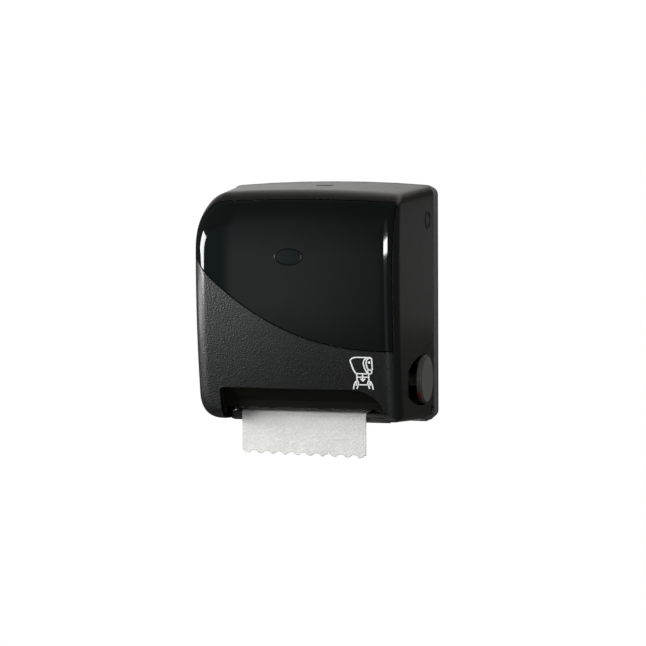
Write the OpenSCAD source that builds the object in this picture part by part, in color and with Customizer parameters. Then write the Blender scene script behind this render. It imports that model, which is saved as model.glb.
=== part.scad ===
/* [Body] */
// Width of the back plate and of the cover at its rear edge
body_w = 338; // [330:1:350]
// Height of the back plate at its sides
body_h = 374; // [370:1:384]
// Greatest depth, from the wall to the front of the cover
body_d = 240; // [236:1:250]
// Rise of the crowned top edge at its middle
top_crown = 7; // [5:0.5:8]
// Wall of the cover
cover_wall = 2.8; // [2.4:0.1:3.2]
// Depth of the back plate's rim
rim_d = 18.5; // [18:0.5:19]

/* [Cover form] */
// Draft of the cover's sides, in degrees
side_draft = 1.3; // [0.8:0.1:1.6]
// Fall of the cover's top towards the front, in degrees
top_draft = 2.9; // [2:0.1:3.4]
// Rise of the cover's bottom towards the front, in degrees
bottom_draft = 4.1; // [3.4:0.1:4.6]
// Corner radius of the outline at the wall, and of its right corners all the way to the front
rear_corner_r = 14; // [12:1:16]
// Width of the upper left corner at the front
left_top_w = 66; // [62:1:70]
// Height of the upper left corner at the front
left_top_h = 94; // [88:1:98]
// Radius of the lower left corner at the front
left_bottom_r = 46; // [42:1:50]
// Power that squares the left corners; 1 would make them elliptical
left_bend = 0.8; // [0.76:0.02:0.9]
// Rounding between the right side and the front
right_round = 24; // [20:1:26]
// Rounding between the left side and the front
left_round = 23; // [20:1:26]
// Rounding between the top and the front
top_round = 50; // [46:1:51]
// Rounding between the bottom and the front
bottom_round = 18; // [14:1:20]
// How far the front falls back at its lower edge
front_fall = 16; // [10:1:20]
// Height at which the front stands out most
front_peak_z = 60; // [30:1:80]
// How far the front falls back at its left and right edges
front_side_fall = 5; // [2:0.5:8]

/* [Window] */
// Reach of the window to the left
window_left = 162; // [158:0.5:162.5]
// Reach of the window to the right
window_right = 157; // [150:0.5:158]
// Height of the window's top edge at its middle
window_top_z = 171; // [166:1:173]
// Height of the sweeping lower edge at its right end
sweep_low_z = -62; // [-70:1:-50]
// Rise of the sweeping lower edge to its left end
sweep_rise = 138; // [100:1:150]
// Gap between the window and the shell round it
window_gap = 0.15; // [0.1:0.05:0.3]

/* [Mouth] */
// Reach of the mouth to the left
mouth_left = 123.5; // [120:0.5:126]
// Reach of the mouth to the right
mouth_right = 140.5; // [138:0.5:142]
// Height of the mouth's upper edge
mouth_top_z = -121.5; // [-124:0.5:-116]
// Depth of the scoop's lower edge
scoop_edge_d = 192; // [190:1:196]
// Height of the scoop's lower edge
scoop_edge_z = -154; // [-157:0.5:-153]

/* [Feed] */
// Width of the towel
towel_w = 203; // [190:1:204]
// Radius of the towel roll
roll_r = 85; // [60:1:86]
// Radius of the drum
drum_r = 45; // [44:0.5:46]
// Teeth of the drum gear
drum_teeth = 44; // [44:1:44]
// Teeth of the knob gear
knob_teeth = 32; // [32:1:32]
// Gear module
gear_module = 1.5; // [1.5:0.1:1.5]
// Radius of the feed knob
knob_r = 38.6; // [36:0.1:39]
// Length of the towel tail below the chute's lip
tail_drop = 62; // [40:1:64]

/* [Wall mount] */
// Distance between the wall holes across
wall_hole_x = 270; // [250:1:280]
// Distance between the wall holes up and down
wall_hole_z = 340; // [336:1:342]
// Radius of the wall holes
wall_hole_r = 3.25; // [2.5:0.05:3.5]

/* [Hidden] */
$fn = 64;
shadow_gap = 1.9;
cover_rear_d = rim_d + shadow_gap;

// Axes along X, as [Y, Z]
hinge_at = [-30, -168];
knob_at = [-73, -116.5];
gear_distance = gear_module * (drum_teeth + knob_teeth) / 2;
axis_drop = 4;
axis_run = sqrt(gear_distance * gear_distance - axis_drop * axis_drop);
drum_at = [knob_at[0] - axis_run, knob_at[1] + axis_drop];
mesh_angle = atan2(knob_at[1] - drum_at[1], knob_at[0] - drum_at[0]);
roll_at = [-118, 60];

// Feed module across the towel
drum_half = 104;
frame_x = 111;
frame_t = 3;
gear_x = 116;
gear_t = 8;
shaft_r = 5;
bush_r = 8;
fit_gap = 0.04;
seat_gap = 0.02;

// Web: thickness in this model, its gap to what it passes, and where it leaves roll and drum
web_t = 0.5;
web_gap = 0.3;
web_in_r = drum_r + web_gap;
web_mid_r = web_in_r + web_t / 2;
roll_web_r = roll_r + web_gap + web_t / 2;
web_span = roll_at - drum_at;
web_turn = atan2(-web_span[0], web_span[1]);
web_angle = -asin((roll_web_r - web_mid_r) / norm(web_span)) + web_turn;
web_leave_angle = -84;
lip_at = [-170, -166.5];
lip_r = 4;
tail_d = -lip_at[0] + lip_r + web_gap + web_t / 2;

// Pinch roller under the drum's rear
pinch_r = 10;
pinch_angle = -52;
pinch_reach = web_in_r + web_t + web_gap + pinch_r;
pinch_at = drum_at + pinch_reach * [cos(pinch_angle), sin(pinch_angle)];

// Knife in the drum, in the drum's own frame
knife_at = [3.9, 31.8];
knife_open = 22;
blade_reach = 24.5;
blade_t = 0.8;
carrier_t = 4;
tooth_pitch = 20.3;
tooth_depth = 5;
finger_step = 40;
finger_places = [-80:finger_step:80];
follower_at = [22, 8];
follower_r = 4;

// Knob in its recess
knob_out_x = 172;
knob_t = 8.5;
recess_x = 140;
knob_room = 1.6;

// Lock on the right side and latch in the top
lock_at = [-51, 134];
lock_r = 8;
bezel_r = 15;
latch_x = 11;
latch_d = 95;
latch_size = [26, 13];
latch_travel = 4;

// Extrudes a [Y, Z] outline along X, from x
module along_x(x, length) {
    translate([x, 0, 0]) rotate([90, 0, 90]) linear_extrude(length) children();
}

// Extrudes an [X, Z] outline from one depth to a greater one
module along_depth(from_d, to_d) {
    translate([0, -from_d, 0]) rotate([90, 0, 0]) linear_extrude(to_d - from_d) children();
}

// Rod along X, round a [Y, Z] axis
module rod(at, x, length, r) {
    translate([x, at[0], at[1]]) rotate([0, 90, 0]) cylinder(h = length, r = r);
}

// Tube along X, round a [Y, Z] axis
module tube(at, x, length, outer, inner) {
    difference() {
        rod(at, x, length, outer);
        rod(at, x - 1, length + 2, inner);
    }
}

// Form of the cover: half width, top, bottom and corner radii at a depth, and the depth of the front
function half_w(d) = body_w / 2 - d * tan(side_draft);
function top_z(d) = body_h / 2 - d * tan(top_draft);
function bottom_z(d) = -body_h / 2 + d * tan(bottom_draft);
function grown_r(front_r, d) = rear_corner_r + (front_r - rear_corner_r) * max(0, d) / body_d;
function corner_w(right, upper, d) = right ? rear_corner_r : grown_r(upper ? left_top_w : left_bottom_r, d);
function corner_h(right, upper, d) = right ? rear_corner_r : grown_r(upper ? left_top_h : left_bottom_r, d);
function crown_at(x, z, d) =
    z > 0 ? top_crown * (1 - pow(min(1, abs(x) / half_w(d)), 2.2)) : 0;
function front_at(x, z) =
    body_d - front_fall * pow((z - front_peak_z) / 190, 2) - front_side_fall * pow(x / 130, 2);

// Places round the outline: share of the half width, share of the height, and the outward angle
corner_step = 15;
rim_places = concat(
    [for (a = [0:corner_step:90]) [1, 1, a]],
    [for (i = [1:5]) [1 - i / 3, 1, 90]],
    [for (a = [90:corner_step:180]) [-1, 1, a]],
    [for (i = [1:4]) [-1, 1 - i * 0.4, 180]],
    [for (a = [180:corner_step:270]) [-1, -1, a]],
    [for (i = [1:3]) [-1 + i * 0.5, -1, 270]],
    [for (a = [270:corner_step:360]) [1, -1, a]],
    [for (i = [1:4]) [1, -1 + i * 0.4, 0]]
);
rim_count = len(rim_places);
sharp_r = 0.5;

// One [X, Z] point of the outline at a depth, moved inwards by a right, left, upper and lower inset
function rim_point(place, d, insets) =
    let (
        right = place[0] > 0,
        upper = place[1] > 0,
        bend = right ? 1 : left_bend,
        reach_x = max(corner_w(right, upper, d) - (right ? insets[0] : insets[1]), sharp_r),
        reach_z = max(corner_h(right, upper, d) - (upper ? insets[2] : insets[3]), sharp_r),
        x_right = half_w(d) - max(corner_w(true, upper, d), insets[0] + sharp_r),
        x_left = -half_w(d) + max(corner_w(false, upper, d), insets[1] + sharp_r),
        high = top_z(d) - max(corner_h(right, true, d), insets[2] + sharp_r),
        low = bottom_z(d) + max(corner_h(right, false, d), insets[3] + sharp_r),
        x = x_left + (x_right - x_left) * (place[0] + 1) / 2
            + place[0] * reach_x * pow(abs(cos(place[2])), bend),
        z = low + (high - low) * (place[1] + 1) / 2
            + place[1] * reach_z * pow(abs(sin(place[2])), bend)
    )
    [x, z + crown_at(x, z, d)];

function even(inset) = [inset, inset, inset, inset];
function as_point(p, d) = [p[0], -d, p[1]];

// Insets of the four roundings where the skin lies a drop behind the front
function round_inset(r, drop, wall) =
    let (run = r - wall, fall = min(run, drop - wall))
    wall + run - sqrt(max(0, run * run - (run - fall) * (run - fall)));
function round_insets(drop, wall) =
    [for (r = [right_round, left_round, top_round, bottom_round]) round_inset(r, drop, wall)];

// A ring along the sides, at a share of the way from the rear edge to the rounding
function side_ring(share, wall) = [
    for (place = rim_places)
        let (
            base = rim_point(place, body_d - top_round, even(0)),
            stop = front_at(base[0], base[1]) - top_round,
            d = cover_rear_d + (stop - cover_rear_d) * share
        )
        as_point(rim_point(place, d, even(wall)), d)
];

// A ring of the rounding, a drop behind the front
function round_ring(drop, wall) = [
    for (place = rim_places)
        let (
            base = rim_point(place, body_d - top_round, even(0)),
            p = rim_point(place, front_at(base[0], base[1]) - drop, round_insets(drop, wall))
        )
        as_point(p, front_at(p[0], p[1]) - drop)
];

// A ring of the front, at a share of the way from the rounding to the middle
function front_ring(share, wall) = [
    for (q = round_ring(wall, wall))
        let (p = [q[0] * (1 - share), q[2] * (1 - share)])
        as_point(p, front_at(p[0], p[1]) - wall)
];

round_angles = [20, 36, 50, 62, 72, 81, 90];
function skin_rings(wall) = concat(
    [for (share = [0, 0.33, 0.67, 1]) side_ring(share, wall)],
    [for (angle = round_angles) round_ring(wall + (top_round - wall) * (1 - sin(angle)), wall)],
    [for (share = [0.3, 0.6, 0.85]) front_ring(share, wall)]
);

function ring_strip(a, b, count) = [
    for (j = [0:count - 1])
        let (k = (j + 1) % count)
        each [[a + j, b + j, b + k], [a + j, b + k, a + k]]
];

// The moulded skin as one closed solid: outer rings, inner rings, and a middle point on each
module skin() {
    outer = skin_rings(0);
    inner = skin_rings(cover_wall);
    rings = len(outer);
    inner_from = rings * rim_count;
    tips = 2 * inner_from;
    last = (rings - 1) * rim_count;
    points = concat(
        [for (ring = outer) each ring],
        [for (ring = inner) each ring],
        [as_point([0, 0], front_at(0, 0)), as_point([0, 0], front_at(0, 0) - cover_wall)]
    );
    outer_faces = concat(
        [for (i = [0:rings - 2]) each ring_strip(i * rim_count, (i + 1) * rim_count, rim_count)],
        [for (j = [0:rim_count - 1]) [last + j, tips, last + (j + 1) % rim_count]]
    );
    inner_faces = concat(
        [for (i = [0:rings - 2])
            each ring_strip(inner_from + (i + 1) * rim_count, inner_from + i * rim_count, rim_count)],
        [for (j = [0:rim_count - 1])
            [inner_from + last + j, inner_from + last + (j + 1) % rim_count, tips + 1]]
    );
    polyhedron(points, concat(outer_faces, inner_faces, ring_strip(inner_from, 0, rim_count)));
}

// Front outline of the window: crowned top, large upper left corner, and a sweeping lower edge
window_span = window_left + window_right;
function sweep_z(x) = sweep_low_z + sweep_rise * pow((window_right - x) / window_span, 2.3);
module window_outline(gap) {
    left = -window_left + gap;
    right = window_right - gap;
    top = window_top_z - gap;
    top_fall = 5;
    corner = 8;
    bow = 4.5;
    left_corner = [46, 72];
    steps = 24;
    shoulder = window_top_z - gap - top_fall;
    polygon(concat(
        [for (i = [0:steps])
            let (x = left + (right - left) * i / steps)
            [x, sweep_z(x) + gap]],
        [for (z = [10, 60, 90, 115, 135]) [right + bow * pow(max(0, z - 60) / 95, 2), z]],
        [for (a = [0:30:90])
            [right + bow - corner + corner * cos(a), shoulder - corner + corner * sin(a)]],
        [for (i = [1:7])
            let (x = right - corner - (right - corner - left - left_corner[0]) * i / 8)
            [x, top - top_fall * pow(x / right, 2)]],
        [for (a = [90:15:180])
            [left + left_corner[0] * (1 + cos(a)), shoulder - left_corner[1] * (1 - sin(a))]]
    ));
}

// Outline of the mouth: a tight upper left corner and a wide upper right one
module mouth_outline() {
    tight = 6;
    wide = [52, 42];
    polygon(concat(
        [[-mouth_left, -body_h]],
        [for (a = [180:-30:90]) [-mouth_left + tight + tight * cos(a), mouth_top_z - tight + tight * sin(a)]],
        [for (a = [90:-10:0]) [mouth_right - wide[0] + wide[0] * cos(a), mouth_top_z - wide[1] + wide[1] * sin(a)]],
        [[mouth_right, -body_h]]
    ));
}

// Path of the knob through the cover's side: its place at rest, and the ring it sweeps as the cover swings
knob_reach = norm(knob_at - hinge_at);
knob_hole_r = knob_r + knob_room;
module swing_ring(gap) {
    away = atan2(knob_at[1] - hinge_at[1], knob_at[0] - hinge_at[0]);
    translate(hinge_at) intersection() {
        difference() {
            circle(r = knob_reach + knob_hole_r - gap);
            circle(r = knob_reach - knob_hole_r + gap);
        }
        polygon([[0, 0], 250 * [cos(away), sin(away)], [0, 250], [250, 250], [250, 0]]);
    }
}

module knob_way() {
    x = 130;
    length = 60;
    rod(knob_at, x, length, knob_hole_r);
    along_x(x, length) swing_ring(0);
}

// Finger groove in front of the knob: an oval that starts flush with the side and runs inwards to the knob's rim
groove_d = [-knob_at[0], 176];
groove_deep = 19;
function groove_x(d) = half_w(d) - min(groove_deep, 16 * pow((groove_d[1] - d) / 64, 1.5));
groove_steps = concat([groove_d[0]], [for (d = [104:8:groove_d[1]]) d]);
module groove_side(grow) {
    r = knob_hole_r + grow;
    along_x(120, 70) translate(knob_at) scale([(groove_d[1] - groove_d[0] + grow) / r, 1]) circle(r = r);
}
module groove_floor(inwards, outer) {
    translate([0, 0, knob_at[1] - 60]) linear_extrude(120) polygon(concat(
        [for (d = groove_steps) [groove_x(d) - inwards, -d]], outer
    ));
}
module groove_cut() {
    intersection() {
        groove_side(0);
        groove_floor(0, [[200, -groove_d[1]], [200, -groove_d[0]]]);
    }
}
module groove_wall() {
    run = groove_d[1] + 2;
    intersection() {
        groove_side(cover_wall);
        groove_floor(cover_wall, [[half_w(run) - 0.5, -run], [half_w(groove_d[0]) - 0.5, -groove_d[0]]]);
    }
}

// Outline of the back plate, moved inwards
module plate_outline(inset) {
    polygon([for (place = rim_places) rim_point(place, 0, even(inset))]);
}

// Solid through outlines of the back plate, given as depth, inset at the sides, and inset at top and bottom
module plate_loft(stations) {
    last = len(stations) - 1;
    front = last * rim_count;
    middle = len(stations) * rim_count;
    points = concat(
        [for (s = stations, place = rim_places) as_point(rim_point(place, 0, [s[1], s[1], s[2], s[2]]), s[0])],
        [[0, -stations[0][0], 0], [0, -stations[last][0], 0]]
    );
    polyhedron(points, concat(
        [for (i = [0:last - 1]) each ring_strip(i * rim_count, (i + 1) * rim_count, rim_count)],
        [for (j = [0:rim_count - 1])
            let (k = (j + 1) % rim_count)
            each [[j, k, middle], [front + k, front + j, middle + 1]]]
    ));
}

module back_plate() {
    plate_t = 3;
    rim_t = 4;
    ridge_d = 10;
    shelf_t = 2.5;
    boss_r = 9;
    boss_h = 6;
    lug_x = 150;
    lug_t = 6;
    lug_r = 9;
    shelf_left = -156;
    shelf_right = 161;
    shelf_d = 40;
    pilot_r = 1.6;
    filler_r = 22;
    filler_top_z = -178.5;
    color("dimgray") difference() {
        union() {
            for (span = [[shelf_left, -lug_x], [lug_x, shelf_right]]) intersection() {
                rod(hinge_at, span[0], span[1] - span[0], filler_r);
                translate([span[0], -60, -body_h / 2]) cube([span[1] - span[0], 59, body_h / 2 + filler_top_z]);
            }
            along_depth(0, plate_t) plate_outline(2.5);
            difference() {
                plate_loft([[0, -1.6, 1.5], [ridge_d, -1.8, 0], [rim_d, 1.5, 1]]);
                along_depth(-1, rim_d + 1) plate_outline(rim_t);
            }
            translate([shelf_left, -shelf_d, -body_h / 2])
                cube([shelf_right - shelf_left, shelf_d - 1, shelf_t]);
            for (sx = [-1, 1], sz = [-1, 1]) translate([sx * wall_hole_x / 2, 0, sz * wall_hole_z / 2])
                rotate([90, 0, 0]) cylinder(h = boss_h, r = boss_r);
            for (x = [-lug_x - lug_t, lug_x]) {
                rod(hinge_at, x, lug_t, lug_r);
                translate([x, hinge_at[0], hinge_at[1] - lug_r]) cube([lug_t, -hinge_at[0] - 1, 2 * lug_r]);
            }
            for (x = [-70, 70]) translate([x - 1.25, -7, 10]) cube([2.5, 5, 150]);
            for (z = [40, 90, 140]) translate([-70, -6, z]) cube([140, 4, 2]);
        }
        for (sx = [-1, 1], sz = [-1, 1]) translate([sx * wall_hole_x / 2, 1, sz * wall_hole_z / 2])
            rotate([90, 0, 0]) cylinder(h = boss_h + 2, r = wall_hole_r);
        for (x = [-lug_x - lug_t, lug_x]) rod(hinge_at, x - 1, lug_t + 2, 3 + seat_gap);
        for (p = screw_places) translate([p[0], 1, p[1]]) rotate([90, 0, 0]) cylinder(h = plate_t + 2, r = pilot_r);
    }
}

// Screws of the module's feet and of the roll arms, as [X, Z]
foot_x = 118;
foot_z = [-160, -80];
arm_foot_z = [roll_at[1] - 24, roll_at[1] + 24];
arm_screw_x = 116;
screw_places = concat(
    [for (x = [-foot_x, foot_x], z = foot_z) [x, z]],
    [for (x = [-arm_screw_x, arm_screw_x], z = arm_foot_z) [x, z]]
);
screw_hole_r = 1.75;

// Plate of the feed module, the same on both sides
module side_plate(x) {
    window_w = 14;
    difference() {
        along_x(x, frame_t) hull() {
            translate([-13, -160]) circle(r = 10, $fn = 32);
            translate([-13, -74]) circle(r = 10, $fn = 32);
            translate([-120, -74]) circle(r = 14, $fn = 32);
            translate([-160, -112]) circle(r = 14, $fn = 32);
            translate([-160, -148]) circle(r = 8, $fn = 32);
            translate([-90, -168]) circle(r = 10, $fn = 32);
        }
        rod(drum_at, x - 1, frame_t + 2, bush_r + seat_gap);
        translate([x - 1, pinch_at[0] - window_w / 2, pinch_at[1] - window_w / 2]) cube([frame_t + 2, window_w, window_w]);
        rod([-45, -140], x - 1, frame_t + 2, 12);
        rod([-125, -170], x - 1, frame_t + 2, 8);
    }
}

// Foot by which a side plate is screwed to the back plate
foot_w = 14;
module side_foot(x) {
    foot_t = 3;
    difference() {
        translate([x, -3 - foot_t, -170]) cube([foot_w, foot_t, 100]);
        for (sx = [-1, 1], z = foot_z) translate([sx * foot_x, 0, z]) rotate([90, 0, 0]) cylinder(h = 10, r = screw_hole_r);
    }
}

module left_side_frame() {
    color("gray") {
        difference() {
            side_plate(-frame_x - frame_t);
            translate([-frame_x - frame_t - 1, -3, -200]) cube([frame_t + 2, 20, 200]);
        }
        side_foot(-frame_x - foot_w);
        translate([-126, detent_block[0], detent_block[1]]) cube([126 - frame_x - 1, 12, 8]);
    }
}

module right_side_frame() {
    color("gray") {
        difference() {
            side_plate(frame_x);
            rod(knob_at, frame_x - 1, frame_t + 2, bush_r + seat_gap);
            translate([frame_x - 1, -3, -200]) cube([frame_t + 2, 20, 200]);
        }
        side_foot(frame_x);
    }
}

module gear_cover_outline(r_drum_end, r_knob_end) {
    hull() {
        translate(drum_at) circle(r = r_drum_end, $fn = 48);
        translate(knob_at) circle(r = r_knob_end, $fn = 48);
    }
}

module gear_cover() {
    shell = 2.4;
    from_x = frame_x + frame_t;
    color([0.08, 0.08, 0.08]) difference() {
        along_x(from_x, recess_x - from_x) gear_cover_outline(42, 44);
        along_x(from_x - 1, recess_x - shell - from_x + 1) gear_cover_outline(42 - shell, 44 - shell);
        rod(knob_at, recess_x - 10, 20, bush_r + seat_gap);
    }
}

module roll_arm(side) {
    arm_x = 105;
    arm_t = 4;
    pin_r = 5.95;
    pin_end = 88;
    rib = 3;
    foot_w = 16;
    mirror([side < 0 ? 1 : 0, 0, 0]) difference() {
        union() {
            along_x(arm_x, arm_t) hull() {
                translate(roll_at) circle(r = 13, $fn = 32);
                translate([-4, roll_at[1] - 34]) square([1, 68]);
            }
            along_x(arm_x + arm_t, rib) difference() {
                hull() {
                    translate(roll_at) circle(r = 13, $fn = 32);
                    translate([-4, roll_at[1] - 34]) square([1, 68]);
                }
                hull() {
                    translate(roll_at) circle(r = 10, $fn = 32);
                    translate([-8, roll_at[1] - 30]) square([1, 60]);
                }
            }
            rod(roll_at, pin_end, arm_x - pin_end + 1, pin_r);
            translate([arm_x, -6, roll_at[1] - 34]) cube([foot_w + 2, 3, 68]);
        }
        for (z = arm_foot_z) translate([arm_screw_x, 0, z]) rotate([90, 0, 0]) cylinder(h = 10, r = screw_hole_r);
    }
}

module left_roll_arm() {
    color("gainsboro") roll_arm(-1);
}

module right_roll_arm() {
    color("gainsboro") roll_arm(1);
}

// Chute under the web: a sloping floor, a round lip, and a front bar with two ledges
module exit_chute() {
    bar_from = -117;
    bar_to = mouth_right - 2.5;
    pan_from = -mouth_left + 1;
    front = lip_at[0] - lip_r;
    rear = -112;
    color([0.07, 0.07, 0.07]) {
        difference() {
            along_x(-frame_x, 2 * frame_x) polygon([
                [rear, -163.5], [lip_at[0], lip_at[1] + lip_r], [-160, -175], [-140, -178], [rear, -178],
                [rear, -175], [-138, -175], [-158, -171], [-158, -166.5], [rear, -166]
            ]);
            for (x = [-100:20:100]) translate([x - 6, -150, -170]) cube([12, 26, 10]);
        }
        along_x(bar_from, bar_to - bar_from) polygon([
            [-163, lip_at[1] + lip_r - 0.9], lip_at + [0, lip_r], lip_at, [front, lip_at[1]], [front, lip_at[1] - 2],
            [front + 2.5, lip_at[1] - 3], [front + 2.5, lip_at[1] - 6], [front, lip_at[1] - 7],
            [front, lip_at[1] - 9], [front + 3, lip_at[1] - 10.5], [-163, lip_at[1] - 9]
        ]);
        rod(lip_at, bar_from, bar_to - bar_from, lip_r);
        along_x(pan_from, bar_to - pan_from) polygon([
            [-157, -173], [-165, -171.5], [-167, -172.5], [-167, -175], [-165.5, -176.5], [-157, -176.5]
        ]);
    }
}

// Comb over the web in front of the drum, with a finger in each of the drum's grooves
module stripper_comb() {
    bar_r = 4;
    bar_at = [-173, -136];
    finger_t = 3;
    tip = drum_at + (drum_r - 1.2) * [cos(-100), sin(-100)];
    color("darkgray") {
        rod(bar_at, -frame_x, 2 * frame_x, bar_r);
        for (x = finger_places) along_x(x - finger_t / 2, finger_t) polygon([
            bar_at + [0, 3.5], bar_at + [-3.5, 0], bar_at + [-1, -10], [-160, -157.8], [-142, -158.3],
            tip + [0, -0.8], tip + [0, 0.2], [-146, -154.5], bar_at + [3.5, -3]
        ]);
    }
}

// Flanged bush along X: body from x, flange at the end that sign points to
module bush(at, x, length, sign) {
    flange_r = 10;
    flange_t = 1;
    difference() {
        union() {
            rod(at, x, length, bush_r);
            rod(at, sign > 0 ? x + length : x - flange_t, flange_t, flange_r);
        }
        rod(at, x - 5, length + 10, shaft_r + fit_gap);
    }
}

module bushes() {
    color("ivory") {
        bush(drum_at, -frame_x - frame_t, frame_t, 1);
        bush(drum_at, frame_x, frame_t, -1);
        bush(knob_at, frame_x, frame_t, -1);
        bush(knob_at, recess_x - 2.4, 2.4, 1);
    }
}

module hinge_pins() {
    head_r = 5.5;
    head_t = 2;
    pin_r = 3;
    inner_x = 150;
    head_x = half_w(-hinge_at[0]) + 0.6;
    color("silver") for (side = [0, 1]) mirror([side, 0, 0]) {
        rod(hinge_at, inner_x, head_x - inner_x + 0.5, pin_r);
        rod(hinge_at, head_x, head_t, head_r);
    }
}

module frame_screws() {
    head_r = 3.6;
    head_t = 2.2;
    shank_r = 1.55;
    shank_l = 5.5;
    seat_d = 6;
    color("silver") for (p = screw_places) translate([p[0], -seat_d, p[1]]) rotate([90, 0, 0]) {
        difference() {
            cylinder(h = head_t, r = head_r);
            for (turn = [0, 90]) rotate(turn) translate([-2, -0.4, head_t - 1]) cube([4, 0.8, 2]);
        }
        translate([0, 0, -shank_l]) cylinder(h = shank_l + 0.1, r = shank_r);
    }
}

// Steel catch on the back plate, whose lip holds the latch's nose
module latch_keeper() {
    keeper_w = 20;
    color("silver") translate([latch_x - keeper_w / 2, 0, 0]) rotate([90, 0, 90]) linear_extrude(keeper_w) polygon([
        [-3, 160], [-3, 185], [-19, 185], [-19, 179], [-17.5, 179], [-17.5, 183.5], [-4.5, 183.5], [-4.5, 160]
    ]);
}

// Steel hook on the back plate, which the lock's tongue turns up behind
module lock_strike() {
    strike_x = 144.5;
    strike_w = 11.5;
    color("silver") translate([strike_x, 0, 0]) rotate([90, 0, 90]) linear_extrude(strike_w) polygon([
        [-3, 158], [-3, 168], [-62, 168], [-62, 146], [-59, 146], [-59, 165], [-6, 165], [-6, 158]
    ]);
}

// Fixed cam on the left plate, round the drum's shaft
module knife_cam() {
    base_r = 15;
    lobe_r = 9;
    lobe_at = drum_at + 9.3 * [cos(-110), sin(-110)];
    cam_t = 3.2;
    color("ivory") difference() {
        union() {
            rod(drum_at, -frame_x, cam_t, base_r);
            rod(lobe_at, -frame_x, cam_t, lobe_r);
        }
        rod(drum_at, -frame_x - 1, cam_t + 2, 10.5);
    }
}

// Leaf over the notched disc, which brings the drum home after each sheet
detent_block = [-84, -87.5];
home_r = 22;
module detent_spring() {
    leaf_t = 0.8;
    top = detent_block[1];
    nose = drum_at + [0, home_r + 0.5];
    color("silver") along_x(-124.5, 4) polygon([
        [detent_block[0] + 11, top], [nose[0] + 4, top], nose + [0, leaf_t], [nose[0] - 5, top],
        [nose[0] - 5.5, top - leaf_t], nose, [nose[0] + 3.5, top - leaf_t], [detent_block[0] + 11, top - leaf_t]
    ]);
}

module pinch_blocks() {
    size = 13;
    inner_x = 107.2;
    outer_x = frame_x + frame_t - 0.1;
    color("ivory") for (side = [0, 1]) mirror([side, 0, 0]) difference() {
        translate([inner_x, pinch_at[0] - size / 2, pinch_at[1] - size / 2]) cube([outer_x - inner_x, size, size]);
        rod(pinch_at, inner_x - 1, outer_x - inner_x + 2, 3 + fit_gap);
    }
}

// Leaf springs that press the pinch blocks up
module pinch_springs() {
    leaf_x = 107.5;
    leaf_w = frame_x - leaf_x;
    leaf_t = 0.8;
    low = pinch_at[1] - 6.5;
    y = pinch_at[0];
    color("silver") for (side = [0, 1]) mirror([side, 0, 0]) along_x(leaf_x, leaf_w) polygon([
        [y - 6, low - 3], [y, low], [y + 6, low - 3], [y + 22, low - 3], [y + 22, low - 3 - leaf_t],
        [y + 5.7, low - 3 - leaf_t], [y, low - leaf_t], [y - 5.7, low - 3 - leaf_t]
    ]);
}

// Fixed panel behind the knob, flush with the cover's side, which fills the way the knob takes through it
module knob_cheek() {
    gap = 0.8;
    foot_x = 160;
    foot_y = -26;
    foot_low = -138;
    foot_h = 72;
    color([0.14, 0.14, 0.15]) {
        intersection() {
            skin();
            along_x(150, 40) difference() {
                swing_ring(gap);
                translate(knob_at) circle(r = knob_hole_r);
            }
        }
        translate([foot_x, foot_y, foot_low]) cube([4.8, -foot_y - 3, foot_h]);
        translate([foot_x, foot_y, foot_low]) cube([6.2, -foot_y - cover_rear_d, foot_h]);
    }
}

// A wound tube along +Z from the origin, with its least gap to itself
module coil(r, wire_r, pitch, turns) {
    rings_per_turn = 8;
    sides = 6;
    count = turns * rings_per_turn;
    path = [for (i = [0:count]) [r * cos(360 * i / rings_per_turn), r * sin(360 * i / rings_per_turn), pitch * i / rings_per_turn]];
    points = [
        for (i = [0:count], k = [0:sides - 1])
            let (
                turn = 360 * i / rings_per_turn,
                out = [cos(turn), sin(turn), 0],
                a = 360 * k / sides
            )
            path[i] + wire_r * (cos(a) * out + sin(a) * [0, 0, 1])
    ];
    faces = concat(
        [for (i = [0:count - 1]) each ring_strip((i + 1) * sides, i * sides, sides)],
        [for (k = [1:sides - 2]) each [
            [0, k, k + 1],
            [count * sides, count * sides + k + 1, count * sides + k]
        ]]
    );
    gaps = [for (i = [0:count - rings_per_turn]) norm(path[i + rings_per_turn] - path[i]) - 2 * wire_r];
    echo(least_coil_gap = min(gaps));
    polyhedron(points, faces);
}

// Middle line of the web: from the roll, round the drum's rear and under it, to the chute's lip and down
function web_path() = concat(
    [roll_at + roll_web_r * [cos(web_angle), sin(web_angle)]],
    [for (a = [web_angle:-6:web_leave_angle]) drum_at + web_mid_r * [cos(a), sin(a)]],
    [for (a = [100:20:180]) lip_at + (lip_r + web_gap + web_t / 2) * [cos(a), sin(a)]]
);
function side_of(path, i) =
    let (
        before = path[max(0, i - 1)],
        after = path[min(len(path) - 1, i + 1)],
        run = after - before
    )
    [-run[1], run[0]] / norm(run);

module towel_web() {
    path = web_path();
    last = len(path) - 1;
    color("whitesmoke") along_x(-towel_w / 2, towel_w) polygon(concat(
        [for (i = [0:last]) path[i] + side_of(path, i) * web_t / 2],
        [for (i = [last:-1:0]) path[i] - side_of(path, i) * web_t / 2]
    ));
}

// Free tail of the towel, cut to a row of soft waves, a little lower at the right
module towel_tail() {
    top = lip_at[1] - 0.08;
    teeth = 10;
    steps = 8;
    skew = 4;
    color("whitesmoke") along_depth(tail_d - web_t / 2, tail_d + web_t / 2) polygon(concat(
        [[towel_w / 2, top], [-towel_w / 2, top]],
        [for (i = [0:teeth * steps])
            let (s = i / (teeth * steps))
            [-towel_w / 2 + towel_w * s,
             top - tail_drop + tooth_depth * (0.5 + 0.5 * cos(360 * teeth * s)) - skew * s]]
    ));
}

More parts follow.
